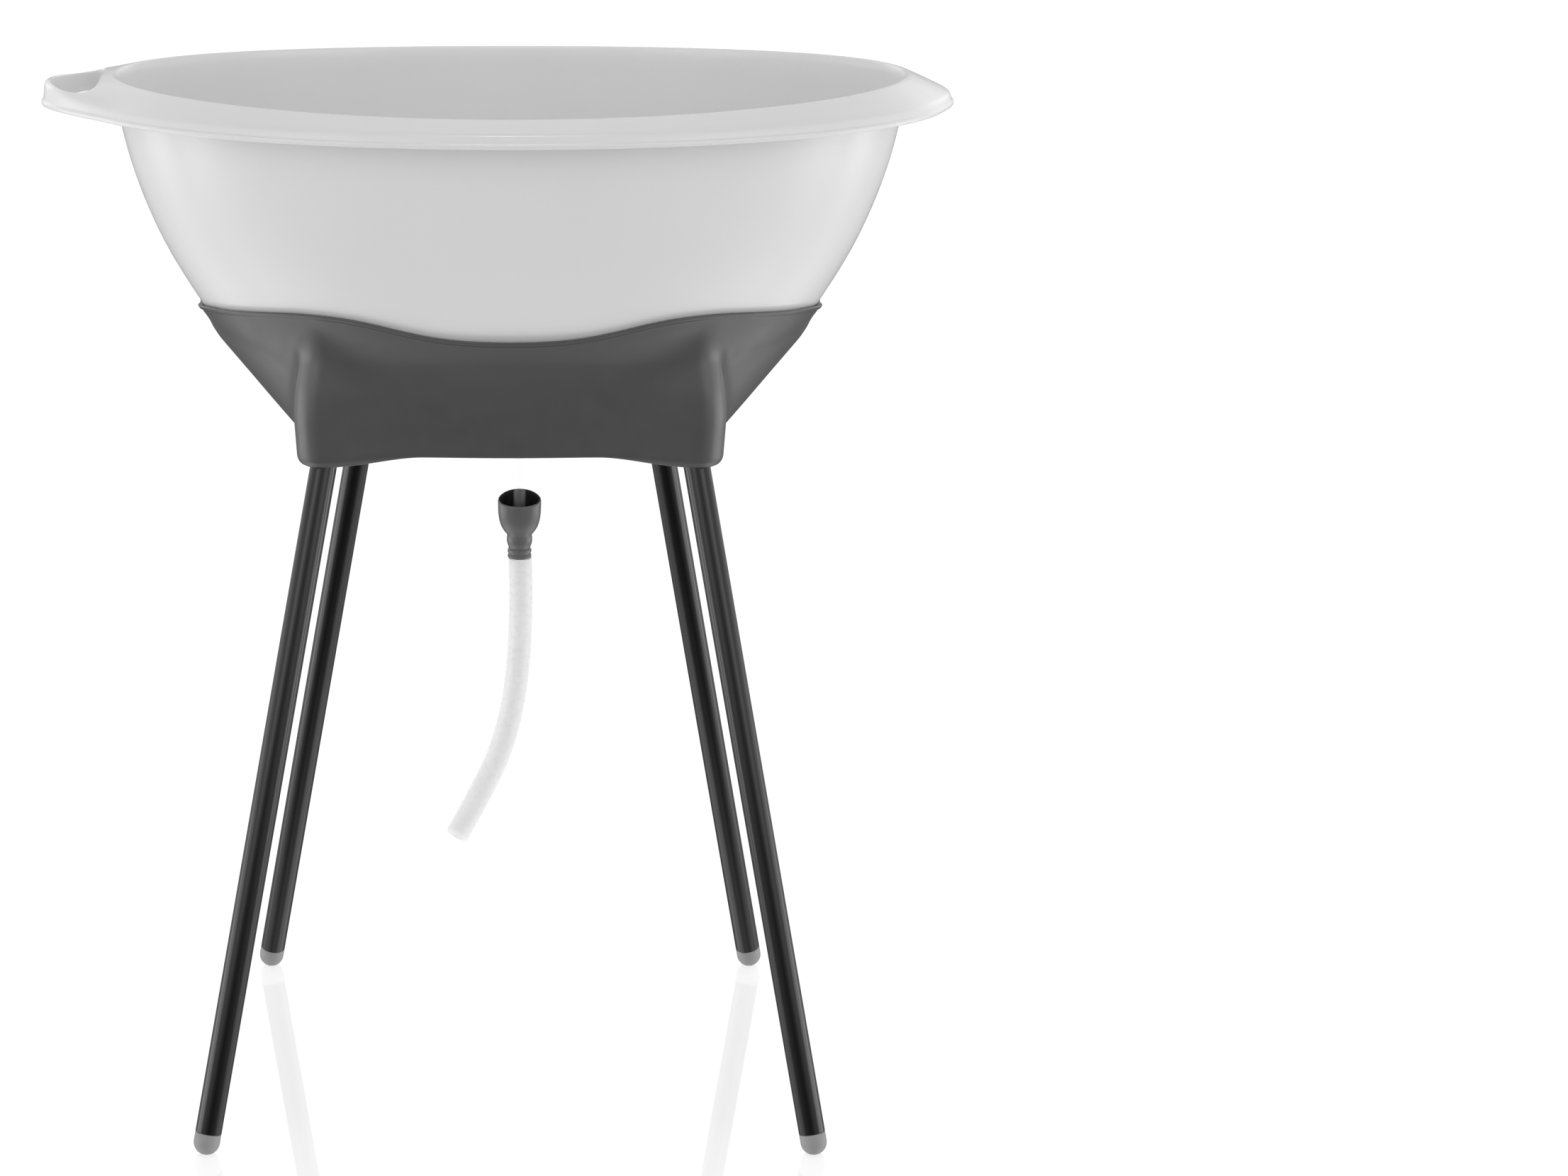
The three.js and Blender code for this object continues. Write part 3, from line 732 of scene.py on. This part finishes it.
class LegFrame:
    """A leg's axis, from the centre of its round foot up to its socket."""

    def __init__(self, name, side, depth, foot, leave, socket_top):
        self.name = name
        self.foot = Vector((side * foot[0], depth * foot[1], FOOT_HEIGHT))
        leaving = Vector((side * leave[0], depth * leave[1], leave[2]))
        self.direction = (leaving - self.foot).normalized()
        self.turn = Vector((0, 0, 1)).rotation_difference(self.direction).to_matrix()
        self.socket_top = socket_top

    def along(self, height):
        return (height - FOOT_HEIGHT) / self.direction.z

    def place(self, points):
        return points @ np.array(self.turn).T + np.array(self.foot)


def build_sockets(frames):
    """Sockets with their bores, and two ribs from each to the cradle's wall."""
    made = []
    segments = 40
    bore = LEG["outer"] + GAP
    outer = bore + SOCKET["wall"]
    for frame in frames:
        mouth, top = frame.along(SOCKET["mouth"]), frame.along(frame.socket_top)
        profile = [
            [bore, mouth],
            [outer, mouth],
            [outer, top + SOCKET["top"]],
            [0, top + SOCKET["top"]],
            [0, top],
            [bore, top],
        ]
        rows = soften(profile, [0.6, 0.8, 2, 0, 0, 0.6], 3, True)
        points = frame.place(turned_points(rows, segments))
        faces = grid_faces(len(rows), segments, True)
        made.append(make_mesh("socket_" + frame.name, points, faces, 40))
        made += build_ribs(frame)
    return made


def build_ribs(frame):
    middle = (RIB["low"] + RIB["high"]) / 2
    axis = frame.foot + frame.direction * frame.along(middle)
    wall = LEG["outer"] + GAP + SOCKET["wall"] - 1
    half = RIB["thickness"] / 2
    side, depth = math.copysign(1, axis.x), math.copysign(1, axis.y)
    spans = [
        ((axis.x + side * wall, side * RIB["reach_x"]), (axis.y - half, axis.y + half)),
        ((axis.x - half, axis.x + half), (axis.y + depth * wall, depth * RIB["reach_y"])),
    ]
    made = []
    for k, (xs, ys) in enumerate(spans):
        corners = [(x, y, z) for z in (RIB["low"], RIB["high"]) for y in ys for x in xs]
        made.append(make_box(f"rib_{k}_{frame.name}", corners))
    return made


def build_leg(frame):
    top = frame.along(frame.socket_top) - GAP - 2
    return build_tube(frame, top), build_foot(frame), build_top_plug(frame, top)


def build_tube(frame, top):
    outer, inner, low = LEG["outer"], LEG["inner"], LEG["cap_height"]
    profile = [[inner, low], [outer, low], [outer, top], [inner, top]]
    tube = turned("leg_tube_smooth_" + frame.name, profile, [0.2, 0.5, 0.5, 0.2], frame.place)
    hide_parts("leg_tube_" + frame.name)
    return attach(tube, "leg_" + frame.name)


def build_foot(frame):
    """The round cap on a leg's lower end, worn flat where it meets the floor."""
    outer, spigot = LEG["outer"], LEG["inner"] - GAP
    rim = LEG["cap_height"] - GAP
    profile = [[0, -outer]]
    for a in np.linspace(0, math.pi / 2, 15)[1:]:
        profile.append([outer * math.sin(a), -outer * math.cos(a)])
    profile += [[outer, rim - 1], [outer - 0.35, rim], [spigot, rim], [spigot, rim + 18]]
    profile += [[spigot - 1.5, rim + 20], [0, rim + 20]]

    def on_floor(points):
        placed = frame.place(points)
        placed[..., 2] = np.maximum(placed[..., 2], 0)
        return placed

    cap = turned("foot_cap_smooth_" + frame.name, profile, None, on_floor)
    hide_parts("foot_cap_" + frame.name)
    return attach(cap, "leg_" + frame.name)


def build_top_plug(frame, top):
    outer, spigot = LEG["outer"], LEG["inner"] - GAP
    profile = [
        [0, top - 14],
        [spigot - 1, top - 14],
        [spigot, top - 12],
        [spigot, top + GAP],
        [outer - 0.4, top + GAP],
        [outer - 1, top + 2],
        [0, top + 2],
    ]
    radii = [0, 0.4, 0.8, 0, 0.4, 0.6, 0]
    plug = turned("leg_top_plug_smooth_" + frame.name, profile, radii, frame.place)
    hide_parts("leg_top_plug_" + frame.name)
    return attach(plug, "leg_" + frame.name)


# ---- Drain ----


def at_drain(points):
    return points + np.array([DRAIN_X, 0, 0])


def build_drain_body():
    """The drain's flanged body with its cross bars."""
    top = FLOOR_BOTTOM + TUB_WALL + GAP
    shank, flange, bowl, bore = (DRAIN[k] for k in ("shank", "flange", "bowl", "bore"))
    grip = PIPE["outer"] + GAP
    profile = [
        [grip, top - 32],
        [shank, top - 32],
        [shank, top],
        [flange, top],
        [flange, top + 1],
        [flange - 2, top + 2],
        [bowl + 1.5, top + 2],
        [bowl, top + 0.5],
        [bowl, top - 11],
        [bore, top - 13],
        [bore, top - 17],
        [grip, top - 18],
    ]
    radii = [0.3, 0.5, 0, 0, 0.5, 0.8, 0.8, 0.6, 1, 0.6, 0.3, 0.3]
    body = turned("drain_body_smooth", profile, radii, at_drain)
    merge_into(body, [build_bar(k, bore + 1.5, top - 13.4) for k in range(3)])
    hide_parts("drain_body")
    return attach(body, "tub")


def build_bar(number, half_length, height):
    """One of the drain's three cross bars, each a sixth of a turn from the last."""
    a = number * math.pi / 3
    half = DRAIN["bar"] / 2
    corners = []
    for z in (-half, half):
        for y in (-half, half):
            for x in (-half_length, half_length):
                across, along = x * math.cos(a) - y * math.sin(a), x * math.sin(a) + y * math.cos(a)
                corners.append((across + DRAIN_X, along, height + z))
    return make_box(f"drain_bar_{number}", corners)


def build_gasket():
    inner, outer = DRAIN["shank"] + GAP, DRAIN["flange"] - 1
    high = FLOOR_BOTTOM - GAP
    low = high - 2.2
    ring = [[inner, low], [outer, low], [outer, high], [inner, high]]
    gasket = turned("drain_gasket_smooth", ring, [0.3] * 4, at_drain)
    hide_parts("drain_gasket")
    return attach(gasket, "tub")


def build_tail_pipe():
    inner, outer, low, high = (PIPE[k] for k in ("inner", "outer", "bottom", "top"))
    wall = [[inner, low], [outer, low], [outer, high], [inner, high]]
    pipe = turned("drain_tail_pipe_smooth", wall, [0.3] * 4, at_drain)
    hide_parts("drain_tail_pipe")
    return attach(pipe, "tub")


def build_nut():
    """A six-sided nut with softened edges, on the drain's shank."""
    low, high = FLOOR_BOTTOM - 12, FLOOR_BOTTOM - 3
    bore = DRAIN["shank"] + GAP
    segments = 72
    turn = angles(segments)
    across = DRAIN["nut"] * math.cos(math.pi / 6)
    folded = np.abs((turn % (math.pi / 3)) - math.pi / 6)
    hexagon = np.minimum(across / np.cos(folded), DRAIN["nut"] - 0.6)
    outline = [(hexagon - 0.9, low), (hexagon - 0.25, low + 0.3), (hexagon, low + 0.9)]
    outline += [(hexagon, high - 0.9), (hexagon - 0.25, high - 0.3), (hexagon - 0.9, high)]
    outline += [(bore + 0.6, high), (bore, high - 0.6), (bore, low + 0.6), (bore + 0.6, low)]
    rings = []
    for r, z in outline:
        rings.append(np.stack([r * np.cos(turn), r * np.sin(turn), np.full(segments, z)], axis=1))
    faces = grid_faces(len(rings), segments, True)
    nut = make_mesh("drain_nut_smooth", at_drain(np.array(rings)), faces, 28)
    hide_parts("drain_nut")
    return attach(nut, "tub")


def build_plug():
    """The plug with its knob and a groove, and the seal in the groove."""
    seat = FLOOR_BOTTOM + TUB_WALL + 2.3
    low, high, groove = seat - 7, seat - 4, 10.6
    profile = [
        [0, seat - 9.5],
        [10.8, seat - 9.5],
        [12, seat - 8.3],
        [12, low],
        [groove, low],
        [groove, high],
        [12, high],
        [12, seat + 0.3],
        [18, seat + 0.3],
        [18, seat + 1.6],
        [16, seat + 2.8],
        [6.5, seat + 3.4],
        [4, seat + 6],
        [4, seat + 11],
        [6.5, seat + 13],
        [6.5, seat + 16],
        [4.5, seat + 18],
        [0, seat + 18.6],
    ]
    radii = [0, 0.4, 0.4, 0.2, 0.2, 0.2, 0.2, 0.4, 0.3, 0.5, 1, 2, 2, 2, 1.2, 1.2, 1.4, 0]
    plug = turned("drain_plug_smooth", profile, radii, at_drain)
    inner, outer = groove + GAP, DRAIN["bowl"] - GAP
    ring = [[inner, low + GAP], [outer, low + GAP], [outer, high - GAP], [inner, high - GAP]]
    seal = turned("drain_plug_seal_smooth", ring, [0.8] * 4, at_drain)
    for piece, node, slot in ((plug, "drain_plug", "fitting_plastic"), (seal, "drain_plug_seal", "rubber")):
        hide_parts(node)
        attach(piece, "plug")
    return plug, seal


# ---- Hose ----

# How three-sided the adaptor's mouth is, its slant, and the height of the cup's floor.
CUP = {"lobe": 0.035, "slope": 0.2, "floor": 545}
# Radius, height, share of the three-sided shape, share of the slant, corner radius.
ADAPTOR = [
    [7, 516, 0, 0, 0.3],
    [11.2, 516, 0, 0, 0.5],
    [11.7, 518.6, 0, 0, 0.7],
    [10.5, 520.3, 0, 0, 0.7],
    [11.7, 522, 0, 0, 0.7],
    [11.4, 524.6, 0, 0, 0.6],
    [10.1, 525.8, 0, 0, 0.7],
    [11, 527.6, 0, 0, 0.8],
    [12.4, 532, 0, 0, 2.5],
    [12.4, 536, 0, 0, 2],
    [11.8, 539, 0, 0, 1.5],
    [16.6, 545, 0.4, 0, 3.5],
    [19.3, 552, 0.8, 0, 4],
    [20.6, 561, 1, 0.3, 4],
    [20.9, 573.6, 1, 1, 0.7],
    [20.4, 575, 1, 1, 0.6],
    [19.2, 575, 1, 1, 0.6],
    [18.6, 573.6, 1, 1, 0.7],
    [18.4, 561, 1, 0.3, 4],
    [16.6, 553, 0.8, 0, 3],
    [6.3, 545.6, 0, 0, 0.8],
    [6.3, 529.4, 0, 0, 0.5],
    [7, 527, 0, 0, 0.5],
]


def build_adaptor():
    """The soft cup with a slanting, slightly three-sided mouth, a neck and a ribbed collar."""
    rows = np.array(soften([r[:4] for r in ADAPTOR], [r[4] for r in ADAPTOR], 4, True))
    segments = 96
    turn = angles(segments)
    radius, height, lobes, slant = (rows[:, k][:, None] for k in range(4))
    r = radius * (1 + CUP["lobe"] * lobes * np.cos(3 * (turn[None, :] - math.pi / 2)))
    x, y = r * np.cos(turn), r * np.sin(turn)
    z = height + CUP["slope"] * slant * y
    points = at_drain(np.stack([x, y, z], axis=2))
    adaptor = make_mesh("hose_adaptor_smooth", points, grid_faces(len(rows), segments, True), 60)
    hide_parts("hose_adaptor")
    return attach(adaptor, "hose")


def build_hose():
    """The hanging hose as a hollow tube."""
    line = relax(catmull_rom(HOSE_ROUTE, HOSE_RINGS), 40)
    step = np.concatenate([[0], np.cumsum(np.hypot(*np.diff(line, axis=0).T))])
    even = np.linspace(0, step[-1], HOSE_RINGS)
    x, z = (np.interp(even, step, line[:, k]) for k in (0, 1))
    centres = np.stack([x, np.zeros(HOSE_RINGS), z], axis=1)
    along = np.gradient(centres, axis=0)
    along /= np.linalg.norm(along, axis=1)[:, None]
    across = np.cross(along, [0, 1, 0])
    segments = 48
    turn = angles(segments)
    rings = []
    for radius, order in ((HOSE_RADIUS, 1), (HOSE_RADIUS - HOSE_WALL, -1)):
        for k in range(HOSE_RINGS)[::order]:
            ring = (
                centres[k]
                + radius * np.cos(turn)[:, None] * across[k]
                + radius * np.sin(turn)[:, None] * np.array([0, 1, 0])
            )
            rings.append(ring)
    faces = grid_faces(len(rings), segments, True)
    hose = make_mesh("drain_hose_tube", np.array(rings), faces, 50)
    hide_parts("drain_hose")
    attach(hose, "hose")
    return hose


# ---- Materials ----


def srgb(value):
    value /= 255
    return value / 12.92 if value <= 0.04045 else ((value + 0.055) / 1.055) ** 2.4


def colour(*channels):
    return tuple(srgb(c) for c in channels) + (1.0,)


def new_material(name):
    material = bpy.data.materials.new(name)
    material.use_nodes = True
    nodes = material.node_tree.nodes
    shader = next(n for n in nodes if n.type == "BSDF_PRINCIPLED")
    place = nodes.new("ShaderNodeTexCoord")
    return material, material.node_tree, shader, place


def noise(tree, place, scale, detail):
    node = tree.nodes.new("ShaderNodeTexNoise")
    node.inputs["Scale"].default_value = scale
    node.inputs["Detail"].default_value = detail
    tree.links.new(place.outputs["Object"], node.inputs["Vector"])
    return node.outputs["Fac"]


def spread(tree, source, low, high, to_low, to_high):
    """Maps a value from one range to another."""
    node = tree.nodes.new("ShaderNodeMapRange")
    for key, value in (("From Min", low), ("From Max", high), ("To Min", to_low), ("To Max", to_high)):
        node.inputs[key].default_value = value
    tree.links.new(source, node.inputs["Value"])
    return node.outputs["Result"]


def mix_colours(tree, share, first, second):
    node = tree.nodes.new("ShaderNodeMix")
    node.data_type = "RGBA"
    tree.links.new(share, node.inputs["Factor"])
    for key, value in (("A", first), ("B", second)):
        socket = [s for s in node.inputs if s.name == key and s.type == "RGBA"][0]
        if isinstance(value, tuple):
            socket.default_value = value
        else:
            tree.links.new(value, socket)
    return [s for s in node.outputs if s.type == "RGBA"][0]


def bump(tree, shader, layers):
    """Adds bump layers of (height, strength, distance in metres), the finest last."""
    normal = None
    for height, strength, distance in layers:
        node = tree.nodes.new("ShaderNodeBump")
        node.inputs["Strength"].default_value = strength
        node.inputs["Distance"].default_value = distance
        tree.links.new(height, node.inputs["Height"])
        if normal is not None:
            tree.links.new(normal, node.inputs["Normal"])
        normal = node.outputs["Normal"]
    tree.links.new(normal, shader.inputs["Normal"])


def plastic(name, tones, roughness, fine_scale, fine_bump, wave_bump=0.0, specular=0.5):
    """Moulded plastic: two close tones, patchy gloss, a fine grain and a slow waviness."""
    material, tree, shader, place = new_material(name)
    patches = noise(tree, place, 9, 4)
    share = spread(tree, patches, 0.3, 0.7, 0, 1)
    tree.links.new(mix_colours(tree, share, *tones), shader.inputs["Base Color"])
    gloss = spread(tree, noise(tree, place, 55, 5), 0.3, 0.7, roughness - 0.04, roughness + 0.04)
    tree.links.new(gloss, shader.inputs["Roughness"])
    layers = [(noise(tree, place, fine_scale, 2), 0.5, fine_bump)]
    if wave_bump:
        layers.insert(0, (noise(tree, place, 22, 1), 0.5, wave_bump))
    bump(tree, shader, layers)
    shader.inputs["Specular IOR Level"].default_value = specular
    return material


def greys(first, second):
    return colour(first, first, first), colour(second, second, second)


def tub_plastic():
    return plastic("tub_plastic", greys(232, 230), 0.17, 420, 0.00001, 0.00004)


def cradle_plastic():
    return plastic("cradle_plastic", greys(72, 69), 0.36, 800, 0.00003, specular=0.8)


def fitting_plastic():
    return plastic("fitting_plastic", greys(226, 222), 0.3, 600, 0.00002)


def soft_rubber():
    return plastic("soft_rubber", greys(103, 98), 0.3, 800, 0.00004)


# Painted shade: a near-black copy of the adaptor's rubber, for the inside of its cup where shade falls.
def rubber_painted_shade():
    return plastic("rubber_painted_shade", greys(10, 8), 0.7, 800, 0.00004)


def foot_plastic():
    return plastic("foot_plastic", greys(153, 145), 0.5, 900, 0.00012)


def leg_paint():
    """Black powder coat: a pebbly skin with a fine pale speckle."""
    material, tree, shader, place = new_material("leg_powder_coat")
    speckle = spread(tree, noise(tree, place, 1400, 1), 0.6, 0.75, 0, 1)
    tone = mix_colours(tree, speckle, colour(7, 7, 7), colour(24, 24, 25))
    tree.links.new(tone, shader.inputs["Base Color"])
    gloss = spread(tree, noise(tree, place, 260, 3), 0.3, 0.7, 0.1, 0.15)
    tree.links.new(gloss, shader.inputs["Roughness"])
    bump(tree, shader, [(noise(tree, place, 700, 2), 0.35, 0.00002)])
    return material


def hose_plastic(name, alpha):
    """Milky tube that lets some of what is behind it through."""
    material, tree, shader, place = new_material(name)
    haze = spread(tree, noise(tree, place, 60, 3), 0.3, 0.7, 0, 1)
    tone = mix_colours(tree, haze, *greys(250, 246))
    tree.links.new(tone, shader.inputs["Base Color"])
    gloss = spread(tree, noise(tree, place, 180, 3), 0.3, 0.7, 0.24, 0.34)
    tree.links.new(gloss, shader.inputs["Roughness"])
    bump(tree, shader, [(noise(tree, place, 120, 2), 0.3, 0.00006)])
    shader.inputs["Alpha"].default_value = alpha
    return material


def assign(material, *pieces):
    for piece in pieces:
        piece.data.materials.clear()
        piece.data.materials.append(material)


def assign_painted_shade(material, adaptor):
    """Gives the inside of the adaptor's cup painted shade: a near-black copy of its rubber where the deep cup
    is in shade.
    """
    adaptor.data.materials.append(material)
    middle = Vector((centre_x() + DRAIN_X, 0, 0)) * MM
    for face in adaptor.data.polygons:
        away = face.center - middle
        outward = away.x * face.normal.x + away.y * face.normal.y
        if outward < 0 and CUP["floor"] * MM < face.center.z:
            face.material_index = 1


# ---- Stage ----

# The light's soft lobes: direction with X and Y folded to their positive side, sharpness and strength.
LOBES = [
    (0, 0, 1, 4, 0.36),
    (0, 0, 1, 150, 11),
    (0, 0.87, 0.5, 7, 0.66),
    (0.6, 0.75, 0.3, 18, 1.5),
    (0.71, 0.71, 0, 7, 0.35),
    (1, 0, 0, 7, 1.1),
    (0.98, 0.2, -0.18, 40, 2.2),
    (0.64, 0.15, -0.75, 18, 1.4),
    (0.45, 0.35, -0.82, 25, 0.55),
    (0, 0.6, -0.8, 25, 0.65),
    (0, 0.3, -0.95, 25, 0.35),
]


# Lens and sensor in millimetres, place in metres, pitch in degrees below level.
CAMERA = {"lens": 99.79, "sensor": 36, "shift": 0.1746, "y": -4.061, "z": 1.6415, "pitch": 15.899}
FLOOR_HALF = 40  # metres


def make_camera():
    """Looks along +Y and a little down, from 4 m in front."""
    data = bpy.data.cameras.new("camera")
    data.lens = CAMERA["lens"]
    data.sensor_width = CAMERA["sensor"]
    data.shift_x = CAMERA["shift"]
    camera = bpy.data.objects.new("camera", data)
    camera.location = (centre_x() * MM, CAMERA["y"], CAMERA["z"])
    camera.rotation_euler = (math.radians(90 - CAMERA["pitch"]), 0, 0)
    bpy.context.scene.collection.objects.link(camera)
    bpy.context.scene.camera = camera


def make_floor():
    """A white glossy floor that mirrors the object, but does not light it or show in its reflections."""
    mesh = bpy.data.meshes.new("floor")
    half = FLOOR_HALF
    corners = [(-half, -half, 0), (half, -half, 0), (half, half, 0), (-half, half, 0)]
    mesh.from_pydata(corners, [], [(0, 1, 2, 3)])
    floor = bpy.data.objects.new("floor", mesh)
    bpy.context.scene.collection.objects.link(floor)
    material, tree, shader, place = new_material("floor_white")
    shader.inputs["Base Color"].default_value = (0.5, 0.5, 0.5, 1)
    shader.inputs["Emission Color"].default_value = (1, 1, 1, 1)
    shader.inputs["Emission Strength"].default_value = 0.63
    shader.inputs["IOR"].default_value = 2.8
    gloss = spread(tree, noise(tree, place, 3, 2), 0.3, 0.7, 0.015, 0.03)
    tree.links.new(gloss, shader.inputs["Roughness"])
    floor.visible_diffuse = False
    floor.visible_glossy = False
    floor.visible_shadow = False
    assign(material, floor)


def make_lights():
    """Studio light as a world of soft lobes, the same on the left and right and from the front and back."""
    world = bpy.data.worlds.new("studio")
    world.use_nodes = True
    bpy.context.scene.world = world
    tree = world.node_tree
    place = tree.nodes.new("ShaderNodeTexCoord")
    folded = tree.nodes.new("ShaderNodeVectorMath")
    folded.operation = "ABSOLUTE"
    tree.links.new(place.outputs["Generated"], folded.inputs[0])
    x, y, _ = split(tree, folded.outputs["Vector"])
    _, _, z = split(tree, place.outputs["Generated"])
    joined = tree.nodes.new("ShaderNodeCombineXYZ")
    for socket, source in zip(joined.inputs, (x, y, z)):
        tree.links.new(source, socket)
    total = None
    for *centre, sharpness, strength in LOBES:
        toward = tree.nodes.new("ShaderNodeVectorMath")
        toward.operation = "DOT_PRODUCT"
        tree.links.new(joined.outputs["Vector"], toward.inputs[0])
        toward.inputs[1].default_value = Vector(centre).normalized()
        falloff = maths(tree, "MULTIPLY_ADD", toward.outputs["Value"], sharpness, -sharpness)
        glow = maths(tree, "EXPONENT", falloff)
        total = maths(tree, "MULTIPLY_ADD", glow, strength, 0.0 if total is None else total)
    tree.links.new(total, tree.nodes["Background"].inputs["Strength"])
    tree.nodes["Background"].inputs["Color"].default_value = (1, 1, 1, 1)


def split(tree, vector):
    node = tree.nodes.new("ShaderNodeSeparateXYZ")
    tree.links.new(vector, node.inputs["Vector"])
    return node.outputs


def maths(tree, operation, *values):
    node = tree.nodes.new("ShaderNodeMath")
    node.operation = operation
    for socket, value in zip(node.inputs, values):
        if isinstance(value, (int, float)):
            socket.default_value = value
        else:
            tree.links.new(value, socket)
    return node.outputs["Value"]


def build_hose_parts(rubber):
    assign(hose_plastic("hose_milky_plastic", 0.4), build_hose())
    adaptor = build_adaptor()
    assign(rubber, adaptor)
    # The cup's inside gets painted shade, a near-black copy of the same rubber.
    assign_painted_shade(rubber_painted_shade(), adaptor)


def build_drain_parts(rubber):
    fitting = fitting_plastic()
    assign(fitting, build_drain_body())
    assign(rubber, build_gasket())
    assign(hose_plastic("pipe_clear_plastic", 0.05), build_tail_pipe())
    assign(fitting, build_nut())
    plug, seal = build_plug()
    assign(fitting, plug)
    assign(rubber, seal)


def build_legs(frames):
    paint, plastic_grey = leg_paint(), foot_plastic()
    for frame in frames:
        tube, cap, top_plug = build_leg(frame)
        assign(paint, tube)
        assign(plastic_grey, cap, top_plug)


def main():
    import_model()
    bpy.context.scene.view_settings.view_transform = "Standard"
    make_camera()
    rubber = soft_rubber()
    build_hose_parts(rubber)
    frames = [LegFrame(*leg) for leg in LEGS]
    assign(tub_plastic(), build_tub())
    assign(cradle_plastic(), build_cradle(frames))
    build_drain_parts(rubber)
    build_legs(frames)
    make_floor()
    make_lights()


main()
